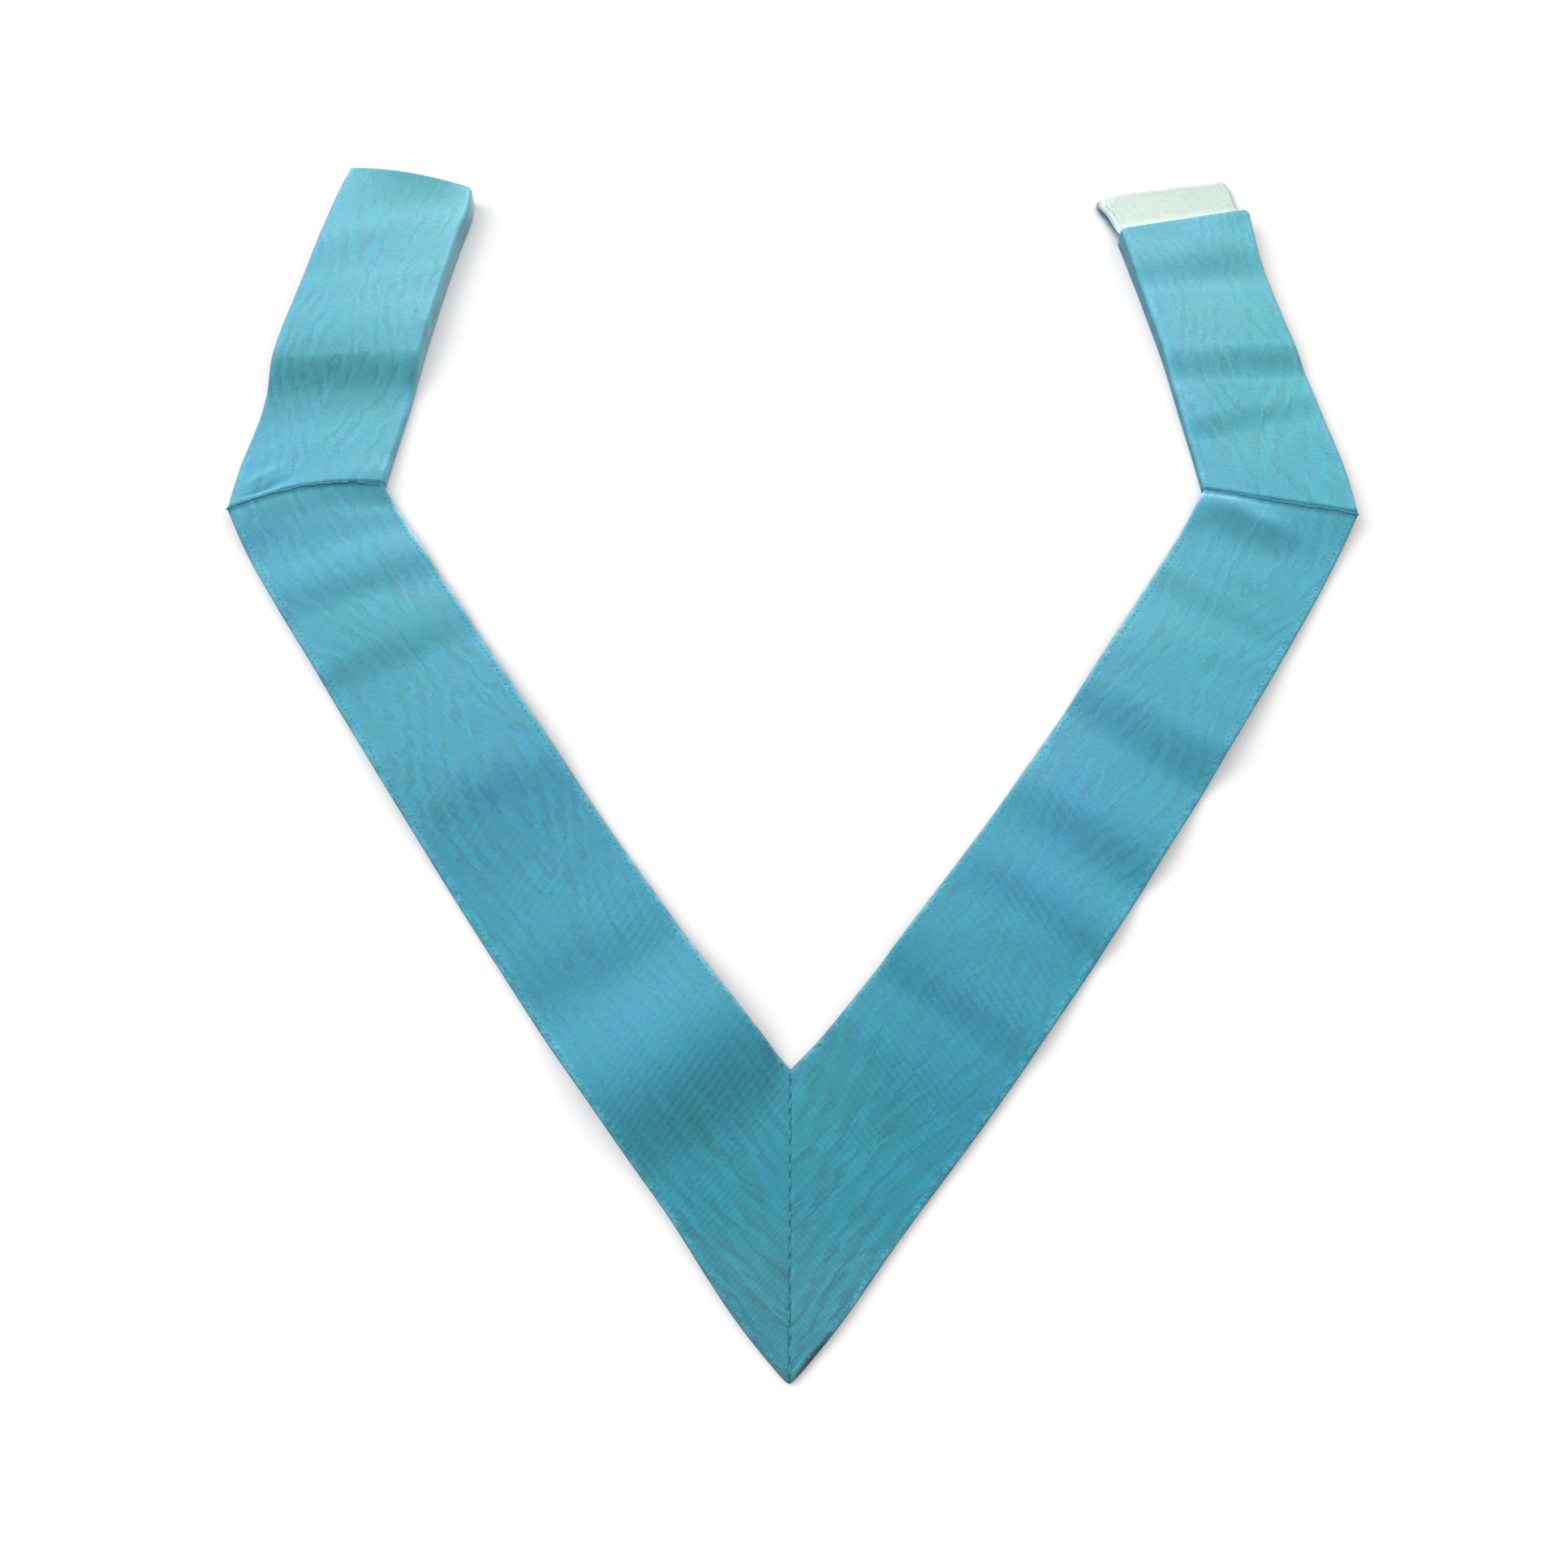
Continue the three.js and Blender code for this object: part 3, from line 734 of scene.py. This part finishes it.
left_front = Cloth(
    ((0, 0), LEFT_SHOULDER[0]), (POINT, LEFT_SHOULDER[1]), LEFT_FRONT_ROWS, LEFT_FRONT_FOLDS,
    gaps=(SEAM_GAP, SEAM_GAP), end_bow=LEFT_SEAM_BOW, seed=1,
)
right_front = Cloth(
    ((0, 0), RIGHT_SHOULDER[0]), (POINT, RIGHT_SHOULDER[1]), RIGHT_FRONT_ROWS, RIGHT_FRONT_FOLDS,
    RIGHT_FRONT_DENTS, gaps=(SEAM_GAP, SEAM_GAP), seed=2,
)
front_looks = (
    ("left", left_front, 1, LEFT_FRONT_BARS, LEFT_FRONT_WATER, LEFT_FRONT_TINTS),
    ("right", right_front, 2, RIGHT_FRONT_BARS, RIGHT_FRONT_WATER, RIGHT_FRONT_TINTS),
)
for side, band, seed, bars, water, tints in front_looks:
    name = f"{side}_front_ribbon"
    mesh = cloth_mesh(name, band, RIBBON_THICK, seed=seed, bars=bars, water=water, tints=tints,
                      seam_shades=(CENTRE_SHADE, SHOULDER_SHADE))
    piece = piece_of(mesh, watered_ribbon(name, seed), "ribbon", f"{side}_front_band")
    plan_area(band)

# Neck straps. They are the same doubled ribbon, mitred to the front bands at the shoulders.
# Their neck edge is turned down to the table as a hem, and the cloth bows up behind it.
LEFT_STRAP_END = ((-120.0, 352.0), (-168.8, 364.1))
RIGHT_STRAP_END = ((124.4, 329.7), (175.0, 342.9))
LEFT_END_CROWN = 2.5
# Painted shade on the hem walls, darker on the right strap, whose wall faces the window.
LEFT_HEM_PAINTED_SHADE = colour(74, 130, 144)
RIGHT_HEM_PAINTED_SHADE = colour(4, 96, 119)

LEFT_STRAP_ROWS = table(
    SECTION,
    (0, 0, 0, 2.7, 3.3),
    (0.12, 0.1, 1.8, 2.1, 1.2),
    (0.28, 0.1, 1.6, 1.8, 0.9),
    (0.42, 0.8, 3, 3.4, 3.1),
    (0.6, 1, 2.6, 5.2, 5.6),
    (0.8, 0.6, 1.8, 6.3, 6.5),
    (0.96, 0.2, 0.4, 6.1, 6),
    (1, 1.2, -0.4, 6.3, 5.8),
)
RIGHT_STRAP_ROWS = table(
    SECTION,
    (0, 0, 0, 1.9, 2.8),
    (0.12, 0.6, 1.3, 1.8, 2.3),
    (0.28, 1, 1, 1.9, 1.1),
    (0.5, 1.7, -0.2, 2.7, 0.4),
    (0.72, 1.2, -1.7, 3.7, 1.1),
    (0.765, 1.1, -1.9, 3.9, 1.3),
    (0.87, 0.6, -1.8, 5.8, 3.4),
    (0.96, 0.2, -0.9, 6.5, 4.1),
    (0.985, 0, -0.8, 6.7, 4.3),
    (1, 0, -2, 6.8, 4.4),
)
LEFT_STRAP_DENTS = table(DENT, (-9, 40, 3, 7, -0.9, -0.9), (-2, 42, 3, 5, -0.9, 0.5))
LEFT_STRAP_FOLDS = table(FOLD, (60, -10, 2.9, 16, 46, 0.8, 1.0))
RIGHT_STRAP_FOLDS = table(FOLD, (32, 6, 0.9, 12, 30, 1, 0.6), (64, -3, 2.4, 16, 60, 0.55, 0.85))
STRAP_BARS = table(PATCH, (6, 30, 12, 30, 0.2))
LEFT_STRAP_TINTS = table(
    TINT,
    (4, 42, 20, 16, 1.1), (30, 16, 24, 20, -0.6), (60, 34, 16, 14, -0.4),
    (140, 20, 14, 20, -0.8), (80, 24, 90, 40, -0.3),
)
RIGHT_STRAP_TINTS = table(
    TINT,
    (60, 5, 70, 5, 0.9), (120, 22, 12, 26, 0.3), (70, 44, 60, 8, -0.9),
    (24, 22, 26, 16, -0.5), (70, 24, 90, 40, -0.6),
)
LEFT_STRAP_WATER = table(
    WATER,
    (-30, 28, 4, 1), (8, 28, 0, 1.2), (50, 30, 10, 1.3),
    (84, 32, 3, 1.3), (140, 34, 16, 1), (170, 32, 20, 1),
)
RIGHT_STRAP_WATER = table(
    WATER,
    (-30, 26, 8, 1), (12, 22, 0, 1.3), (62, 26, 12, 1.3),
    (88, 28, 5, 1), (130, 26, 15, 1.1), (160, 24, 20, 1.1),
)

left_strap = Cloth(
    (LEFT_SHOULDER[0], LEFT_STRAP_END[0]), (LEFT_SHOULDER[1], LEFT_STRAP_END[1]),
    LEFT_STRAP_ROWS, LEFT_STRAP_FOLDS, LEFT_STRAP_DENTS, gaps=(SEAM_GAP, 0),
    start_bow=LEFT_SEAM_BOW, end_crown=LEFT_END_CROWN, seed=3,
)
right_strap = Cloth(
    (RIGHT_SHOULDER[0], RIGHT_STRAP_END[0]), (RIGHT_SHOULDER[1], RIGHT_STRAP_END[1]),
    RIGHT_STRAP_ROWS, RIGHT_STRAP_FOLDS, gaps=(SEAM_GAP, 0), seed=4,
)
strap_looks = (
    ("left", left_strap, 3, LEFT_STRAP_WATER, LEFT_STRAP_TINTS, LEFT_HEM_PAINTED_SHADE),
    ("right", right_strap, 4, RIGHT_STRAP_WATER, RIGHT_STRAP_TINTS, RIGHT_HEM_PAINTED_SHADE),
)
for side, strap, seed, water, tints, hem_painted_shade in strap_looks:
    name = f"{side}_neck_ribbon"
    mesh = cloth_mesh(
        name, strap, RIBBON_THICK, ends=("seam", "free"), hem=True, seed=seed, bars=STRAP_BARS,
        water=water, tints=tints,
    )
    piece = piece_of(mesh, watered_ribbon(name, seed, hem_painted_shade), "ribbon", f"{side}_neck_strap")
    plan_area(strap)

# Stitches. Threads a little darker than the ribbon join the bands along the centre seam and close
# the shoulder seams, and small stitches in a thread of its own colour fell the bands' edges. On
# the shoulders the beads run on as one wide dark line, painted shade for the seam's fold.
CENTRE_STITCH = {"Pitch": 4.4, "Length": 3.3, "Width": 0.8, "Height": 0.2}
SHOULDER_STITCH = {"Pitch": 2.7, "Length": 4.4, "Width": 1.3, "Height": 0.4}
EDGE_STITCH = {"Pitch": 2.1, "Length": 1.0, "Width": 0.7, "Height": 0.07}
CENTRE_THREAD = colour(48, 122, 140)
# Painted shade: the shoulder thread's dark line stands in for the shade of the seam's fold.
SHOULDER_SHADE_THREAD = colour(34, 100, 116)
EDGE_THREAD = colour(42, 124, 144)
CENTRE_SEWN = (0.02, 0.95)  # shares of the seam or edge where each line starts and ends
SHOULDER_SEWN = (0.14, 0.97)
EDGE_SEWN = (0.015, 0.985)
CENTRE_RAISED = 0.12
EDGE_INSET = 2.0
STRAY = 0.3  # of a stitch from its line
LINE_STEPS = 240


class Tree(Graph):
    """Short ways to build one Geometry Nodes tree."""

    def __init__(self, name, sizes):
        self.tree = bpy.data.node_groups.new(name, "GeometryNodeTree")
        sockets = self.tree.interface
        for way in ("OUTPUT", "INPUT"):
            sockets.new_socket("Geometry", in_out=way, socket_type="NodeSocketGeometry")
        kinds = dict.fromkeys(sizes.split(), "Float") | {"Seed": "Int", "Material": "Material"}
        self.keys = {}
        for label, kind in kinds.items():
            socket = sockets.new_socket(label, in_out="INPUT", socket_type=f"NodeSocket{kind}")
            self.keys[label] = socket.identifier
        self.given = self.tree.nodes.new("NodeGroupInput").outputs

    def grow(self, kind, settings=None, **inputs):
        """A node's first output. The underlines in the names of inputs stand for spaces."""
        named = {key.replace("_", " "): value for key, value in inputs.items()}
        return self.add(kind, named, **(settings or {})).outputs[0]

    def random(self, *most):
        """A random vector, up to so much either way in x, y and z."""
        return self.grow("FunctionNodeRandomValue", {"data_type": "FLOAT_VECTOR"},
                         Min=[-far for far in most], Max=most, Seed=self.given["Seed"])

    def planted(self, points, shape, turn):
        """A smooth shape at every point, made real faces with the material asked for."""
        smooth = self.grow("GeometryNodeSetShadeSmooth", Geometry=shape)
        laid = self.grow("GeometryNodeInstanceOnPoints", Points=points, Instance=smooth, Rotation=turn)
        real = self.grow("GeometryNodeRealizeInstances", Geometry=laid)
        done = self.grow("GeometryNodeSetMaterial", Geometry=real, Material=self.given["Material"])
        self.add("NodeGroupOutput", {"Geometry": done})
        return self


def grown(name, base, tree, sizes, material, seed, slot, **values):
    """The piece that a tree grows on a base mesh, from sizes in millimetres."""
    source = placed(name, base)
    modifier = source.modifiers.new(name, "NODES")
    modifier.node_group = tree.tree
    values.update({label: size * MM for label, size in sizes.items()}, Seed=seed, Material=material)
    for label, value in values.items():
        modifier[tree.keys[label]] = value
    depsgraph = bpy.context.evaluated_depsgraph_get()
    mesh = bpy.data.meshes.new_from_object(source.evaluated_get(depsgraph), depsgraph=depsgraph)
    bpy.data.objects.remove(source)
    bpy.data.meshes.remove(base)
    mesh.name = name
    return piece_of(mesh, material, slot)


def stitch_tree():
    """Thread beads laid along a line, each turned to follow it."""
    t = Tree("stitches", "Pitch Length Width Height")
    line = t.grow("GeometryNodeMeshToCurve", Mesh=t.given["Geometry"])
    marks = t.grow("GeometryNodeResampleCurve", {"mode": "LENGTH"}, Curve=line, Length=t.given["Pitch"])
    stray = t.random(STRAY * MM, STRAY * MM, 0.0)
    moved = t.grow("GeometryNodeSetPosition", Geometry=marks, Offset=stray)
    tangent = t.grow("GeometryNodeInputTangent")
    turn = t.grow("FunctionNodeAlignRotationToVector", {"axis": "X"}, Vector=tangent)
    ball = t.grow("GeometryNodeMeshUVSphere", Segments=6, Rings=5, Radius=0.5)
    size = t.vector(t.given["Length"], t.given["Width"], t.given["Height"])
    bead = t.grow("GeometryNodeTransform", Geometry=ball, Scale=size)
    return t.planted(moved, bead, turn)


TWIST = (1400.0, 2.0)
TWIST_WORN = (0.35, 0.65, 0.0, 0.15)


def thread(name, shade):
    """Twisted sewing thread."""
    n = Finish(name)
    twist = n.noise(n.place(), *TWIST)
    worn = n.blend(n.ease(twist, *TWIST_WORN), shade, RIBBON_PALE)
    return n.done({"Base Color": worn, "Roughness": 0.8, "Specular IOR Level": 0.2}, twist, 0.5, 0.05)


def line_on(cloth, at, share, raised):
    """A line of points on a cloth, so far above its lower face."""
    at, share = np.broadcast_arrays(at, share)
    steps = [(k, k + 1) for k in range(len(at) - 1)]
    return drawn("line", cloth.plan(at, share), cloth.underside(at, share) + raised, steps)


def seam_line(cloth, sewn, raised=0.0):
    """A line along a cloth's first end, at the bottom of the seam's groove."""
    return line_on(cloth, 0.0, np.linspace(*sewn, LINE_STEPS), RIBBON_THICK - SEAM_DIP + raised)


def edge_line(cloth, by_neck):
    """A line on a cloth's face, a little in from its neck edge or its outer edge."""
    at = np.linspace(*EDGE_SEWN, LINE_STEPS * 2)
    inset = EDGE_INSET / width_at(cloth, at)
    return line_on(cloth, at, inset if by_neck else 1 - inset, RIBBON_THICK)


def sew(name, line, sizes, material, seed):
    return grown(name, line, stitches, sizes, material, seed, "ribbon")


stitches = stitch_tree()
centre_thread = thread("centre_thread", CENTRE_THREAD)
shoulder_shade_thread = thread("shoulder_shade_thread", SHOULDER_SHADE_THREAD)
edge_thread = thread("edge_thread", EDGE_THREAD)
sew("centre_stitches", seam_line(left_front, CENTRE_SEWN, CENTRE_RAISED), CENTRE_STITCH, centre_thread, 1)
for side, strap, seed in (("left", left_strap, 2), ("right", right_strap, 3)):
    line = seam_line(strap, SHOULDER_SEWN)
    sew(f"{side}_shoulder_stitches", line, SHOULDER_STITCH, shoulder_shade_thread, seed)
for side, band in (("left", left_front), ("right", right_front)):
    sew(f"{side}_neck_edge_stitches", edge_line(band, True), EDGE_STITCH, edge_thread, 4)
    sew(f"{side}_outer_edge_stitches", edge_line(band, False), EDGE_STITCH, edge_thread, 5)

# Fastening tab. White loop tape on a backing, sewn under the end of the right strap. The backing
# is coloured dark, painted shade, so that its rim past the tape reads as the shadow under the
# curled neck edge. The neck edge curls down, a line of stitches holds that edge, and the loops
# stop short of it.
TAB_LAP = 5  # under the strap
TAB_LENGTHS = (28.4, 26.0)  # of its neck edge and its outer edge
TAB_INSET = 2.3  # from the strap's neck edge
TAB_WIDTH = 46.6  # at the strap
TAB_CURL = (1.2, 7, 0.3)  # drop, reach from the neck edge, share of the length where it is full
BACKING_THICK = 0.5
TAPE_THICK = 0.6
LAYER_GAP = 0.03
TAPE_WHITES = (colour(134, 154, 152), colour(168, 182, 174))  # its rim and its middle
# Painted shade: the backing is dark so that its rim reads as the shadow under the neck edge.
BACKING_SHADOW_GREYS = (colour(76, 102, 114), colour(64, 92, 106))
# Painted shadow of the strap's end on the tape and loops just past it.
TAB_STRAP_SHADOW = colour(124, 150, 158)
STRAP_SHADOW_FROM_TO = (1.0, 5.0)  # past the strap's end
OUTER_SHOWS = 0.006  # share of the tab's width by which the backing shows past the tape outside

TAB_ROWS = table(
    SECTION,
    (0, 0, 0, 4.8, 2.4),
    (0.17, -2, 0.3, 4.1, 1.8),
    (0.35, -3, 0.9, 2.9, 0.8),
    (0.6, -4.4, 0.9, 2.5, 0.7),
    (0.88, -5.8, 0.4, 2.4, 0.9),
    (0.95, -4.4, -0.5, 2.4, 1),
    (1, -0.6, -2.3, 2.3, 1),
)
# The dark backing shows this many millimetres past the tape along the neck edge, as painted shadow.
BACKING_SHOWS = table("at width", (0.0, 0.2), (0.3, 0.6), (0.6, 0.9), (0.9, 0.7), (1.0, 0.4))


class Layer:
    """A cloth that lies on or under part of another and follows its shape."""

    def __init__(self, cloth, lengthwise, inner, outer, lift):
        self.cloth, self.lengthwise, self.sides, self.lift = cloth, lengthwise, (inner, outer), lift
        self.length = cloth.length * (lengthwise[1] - lengthwise[0])

    def place(self, at, share):
        start, end = self.lengthwise
        inner, outer = (side(at) if callable(side) else side for side in self.sides)
        return start + (end - start) * at, inner + (outer - inner) * share

    def plan(self, at, share):
        return self.cloth.plan(*self.place(at, share))

    def on_ribbon(self, at, share):
        return self.cloth.on_ribbon(*self.place(at, share))

    def underside(self, at, share):
        return self.cloth.underside(*self.place(at, share)) + self.lift


def strap_shadow_share(n):
    """1 just past the end of the right strap, where its painted shadow falls on the tab, and 0 further
    on.
    """
    away = square_to(*RIGHT_STRAP_END, right_strap.run)
    edge = (RIGHT_STRAP_END[0] + NOTCH) @ away
    inputs = {0: n.place(), 1: (*away, 0.0)}
    from_end = n.add("ShaderNodeVectorMath", inputs, operation="DOT_PRODUCT").outputs["Value"]
    return n.ease(from_end, *((edge + past) * MM for past in STRAP_SHADOW_FROM_TO), 1.0, 0.0)


WEAVE_PITCH = (0.5, 0.7)  # along and across
WEAVE_TONE = (0.015, 0.93)  # its swing and its middle
CLOUDS_PER_MM = 0.3
CLOUD_TONE = 0.12
TAPE_RIM = (0.5, 1.5)


def woven_tape(name, rim, middle, strap_shadow=None):
    """Close weave, of another shade at its rim, with a painted shadow where the strap's end lies near."""
    n = Finish(name)
    place = n.on_ribbon()
    threads = (n.times(way, 2 * pi / pitch) for way, pitch in zip(place, WEAVE_PITCH))
    weave = n.times(*(n.maths("SINE", turns) for turns in threads))
    clouds = n.noise(n.vector(*(n.times(way, CLOUDS_PER_MM) for way in place)), 1.0, 2.0, "2D")
    base = n.blend(n.ease(n.held("from_edge"), *TAPE_RIM), rim, middle)
    if strap_shadow:
        base = n.blend(strap_shadow_share(n), base, strap_shadow)
    tone = n.maths("ADD", n.scaled(weave, *WEAVE_TONE), n.times(clouds, CLOUD_TONE))
    return n.done({"Base Color": n.toned(base, tone), "Roughness": 0.8}, weave)


def face_patch(name, cloth, thick, steps, starts, end, sides):
    """Part of a cloth's face, as a sheet. It starts at one share of the cloth's length on its inner
    side and at another on its outer side, and has one end and two sides."""
    at, share = np.meshgrid(*(np.linspace(0, 1, count + 1) for count in steps), indexing="ij")
    start = starts[0] + (starts[1] - starts[0]) * share
    at, share = start + (end - start) * at, sides[0] + (sides[1] - sides[0]) * share
    index = np.arange(at.size).reshape(at.shape)
    quads = np.stack([index[:-1, :-1], index[1:, :-1], index[1:, 1:], index[:-1, 1:]], axis=-1)
    height = cloth.underside(at, share) + thick
    return drawn(name, cloth.plan(at, share), height, faces=quads.reshape(-1, 4).tolist())


MOST_LOOPS = 4e6  # per square metre
LOOP_START = -0.6
LOOP_LEAN = 0.5


def loop_tree():
    """Fibre loops or hooks that stand on a sheet, each turned its own way."""
    t = Tree("loops", "Spacing Radius Fibre Sweep")
    radius = t.given["Radius"]
    inputs = {"Mesh": t.given["Geometry"], "Distance Min": t.given["Spacing"],
              "Density Max": MOST_LOOPS, "Seed": t.given["Seed"]}
    spread = t.add("GeometryNodeDistributePointsOnFaces", inputs, distribute_method="POISSON").outputs
    arc = t.grow("GeometryNodeCurveArc", Resolution=6, Radius=radius, Start_Angle=LOOP_START,
                 Sweep_Angle=t.given["Sweep"])
    ring = t.grow("GeometryNodeCurvePrimitiveCircle", Resolution=4, Radius=t.given["Fibre"])
    fibre = t.grow("GeometryNodeCurveToMesh", Curve=arc, Profile_Curve=ring, Fill_Caps=True)
    lift = t.vector(0.0, 0.0, t.times(radius, 0.5))
    stood = t.grow("GeometryNodeTransform", Geometry=fibre, Rotation=(pi / 2, 0.0, 0.0), Translation=lift)
    turn = t.random(LOOP_LEAN, LOOP_LEAN, pi)
    own = t.add("FunctionNodeEulerToRotation", {0: turn}).outputs[0]
    turned = t.grow("FunctionNodeRotateRotation", {"rotation_space": "LOCAL"},
                    Rotation=spread["Rotation"], Rotate_By=own)
    return t.planted(spread[0], stood, turned)


PILE_MOTTLE = (260.0, 3.0)
PILE_RANGE = (0.35, 0.65)


def pile(name, low, high, strap_shadow=None):
    """Brushed fibre loops, mottled where they lie differently, with a painted shadow by the strap's end
    if one is given.
    """
    n = Finish(name)
    mottle = n.noise(n.place(), *PILE_MOTTLE)
    base = n.blend(n.ease(mottle, *PILE_RANGE), low, high)
    if strap_shadow:
        base = n.blend(strap_shadow_share(n), base, strap_shadow)
    return n.done({"Base Color": base, "Roughness": 0.85, "Sheen Weight": 0.1}, mottle, 0.3)


tab_corner = np.array(RIGHT_STRAP_END[0]) - right_strap.run * TAB_LAP + right_strap.out * TAB_INSET
slant = np.subtract(RIGHT_STRAP_END[1], RIGHT_STRAP_END[0])
tab_corners = (tab_corner, tab_corner + TAB_WIDTH * slant / np.linalg.norm(slant))
tab_sides = [(corner, corner + right_strap.run * length)
             for corner, length in zip(tab_corners, TAB_LENGTHS)]
tab = Cloth(*tab_sides, TAB_ROWS, curl=TAB_CURL)
backing_mesh = cloth_mesh("tab_shadow_backing", tab, BACKING_THICK, ends=("free", "free"))
backing = piece_of(backing_mesh, woven_tape("tab_shadow_backing", *BACKING_SHADOW_GREYS), "tape", "fastening_tab")
plan_area(tab)


TAPE_ENDS = 0.995  # share of the backing's length


def backing_shows(at):
    return read_rows(BACKING_SHOWS, "width", at) / TAB_WIDTH


tape = Layer(tab, (0, TAPE_ENDS), backing_shows, 1 - OUTER_SHOWS, BACKING_THICK + LAYER_GAP)
tape_mesh = cloth_mesh("tab_tape", tape, TAPE_THICK, ends=("free", "free"))
tape_piece = piece_of(tape_mesh, woven_tape("tab_tape", *TAPE_WHITES, TAB_STRAP_SHADOW), "tape")

LOOPS = {"Spacing": 0.32, "Radius": 0.2, "Fibre": 0.11}
LOOP_WHITES = (colour(149, 162, 153), colour(156, 169, 160))
LOOP_SWEEP = 4.3
PILE_STARTS = (0.30, 0.23)  # shares of the tab's length, on its neck side and its outer side
PILE_END = 0.945
PILE_SIDES = (3.4 / TAB_WIDTH, 1 - 1.4 / TAB_WIDTH)
PILE_STEPS = (24, 40)

loops = loop_tree()
pile_patch = face_patch("tab_loops", tape, TAPE_THICK, PILE_STEPS, PILE_STARTS, PILE_END, PILE_SIDES)
pile_white = pile("tab_loops", *LOOP_WHITES, TAB_STRAP_SHADOW)
loop_piece = grown("tab_loops", pile_patch, loops, LOOPS, pile_white, 7, "tape", Sweep=LOOP_SWEEP)

TAPE_STITCH = {"Pitch": 2.0, "Length": 2.4, "Width": 0.36, "Height": 0.2}
TAPE_SEWN = (0.22, 0.95)
STITCH_FROM_EDGE = 2.4
tape_thread = thread("tape_thread", colour(120, 146, 156))
tape_line = line_on(tape, np.linspace(*TAPE_SEWN, LINE_STEPS), STITCH_FROM_EDGE / TAB_WIDTH, TAPE_THICK)
tape_stitches = sew("tape_stitches", tape_line, TAPE_STITCH, tape_thread, 6)
plan_area(tape)

# Mating strip. The hook half of the fastener, sewn under the end of the left strap with its
# hooks towards the table.
STRIP_FROM_TO = (0.86, 0.98)
STRIP_SIDES = (0.06, 0.95)
STRIP_GAP = 0.3
STRIP_THICK = 0.8
STRIP_WHITES = (colour(180, 200, 202), colour(214, 228, 230))
HOOKS = {"Spacing": 1.3, "Radius": 0.34, "Fibre": 0.09}
HOOK_WHITES = (colour(196, 212, 212), colour(222, 232, 232))
HOOK_SWEEP = 3.4
HOOK_STAND = 0.1
HOOK_STARTS = (0.94, 0.94)  # backwards, so that the patch faces the table
HOOK_END = 0.06
HOOK_SIDES = (0.03, 0.97)
HOOK_STEPS = (12, 30)

strip = Layer(left_strap, STRIP_FROM_TO, *STRIP_SIDES, -STRIP_GAP - STRIP_THICK)
strip_mesh = cloth_mesh("mating_tape", strip, STRIP_THICK, ends=("free", "free"))
strip_piece = piece_of(strip_mesh, woven_tape("mating_tape", *STRIP_WHITES), "tape", "mating_strip")

hook_patch = face_patch("mating_hooks", strip, -HOOK_STAND, HOOK_STEPS, HOOK_STARTS, HOOK_END, HOOK_SIDES)
hook_white = pile("mating_hooks", *HOOK_WHITES)
hook_piece = grown("mating_hooks", hook_patch, loops, HOOKS, hook_white, 11, "tape", Sweep=HOOK_SWEEP)
plan_area(strip)

# Floor and light. A plain white table under an even white sky, with a broad window on the left
# for the shadows and a low wide lamp behind, which brings out the gloss and the folds.
FLOOR_HALF = 3.0
FLOOR_WHITE = (0.95, 0.95, 0.95, 1.0)
SKY_COLOUR = (1.0, 0.99, 0.98, 1.0)
SKY_STRENGTH = 0.9

floor_mesh = bpy.data.meshes.new("floor")
corners = [(x * FLOOR_HALF, y * FLOOR_HALF, 0) for x, y in ((-1, -1), (1, -1), (1, 1), (-1, 1))]
floor_mesh.from_pydata(corners, [], [(0, 1, 2, 3)])
floor = placed("floor", floor_mesh)
floor_mesh.materials.append(Finish("floor").done({"Base Color": FLOOR_WHITE, "Roughness": 0.9}))

world = bpy.data.worlds.new("sky")
world.use_nodes = True
sky = world.node_tree.nodes["Background"].inputs
sky["Color"].default_value = SKY_COLOUR
sky["Strength"].default_value = SKY_STRENGTH
bpy.context.scene.world = world
bpy.context.scene.view_settings.view_transform = "Standard"

WINDOW = {"left of back": 70, "elevation": 34, "spread": 50, "strength": 1.5}
LAMP_PLACE = (0.02, 1.1, 0.27)
LAMP_SIZE = (0.5, 0.2)
LAMP_POWER = 24.0

window_data = bpy.data.lights.new("window", "SUN")
window_data.angle = radians(WINDOW["spread"])
window_data.energy = WINDOW["strength"]
window_turn = (-radians(90 - WINDOW["elevation"]), 0, radians(WINDOW["left of back"]))
placed("window", window_data, turn=window_turn)

lamp_data = bpy.data.lights.new("lamp", "AREA")
lamp_data.shape = "RECTANGLE"
lamp_data.size, lamp_data.size_y = LAMP_SIZE
lamp_data.energy = LAMP_POWER
lamp = placed("lamp", lamp_data, LAMP_PLACE, Vector(LAMP_PLACE).to_track_quat("Z", "Y").to_euler())
all_but_table = bpy.data.collections.new("all but table")
all_but_table.objects.link(floor)
all_but_table.collection_objects[0].light_linking.link_state = "EXCLUDE"
lamp.light_linking.receiver_collection = all_but_table
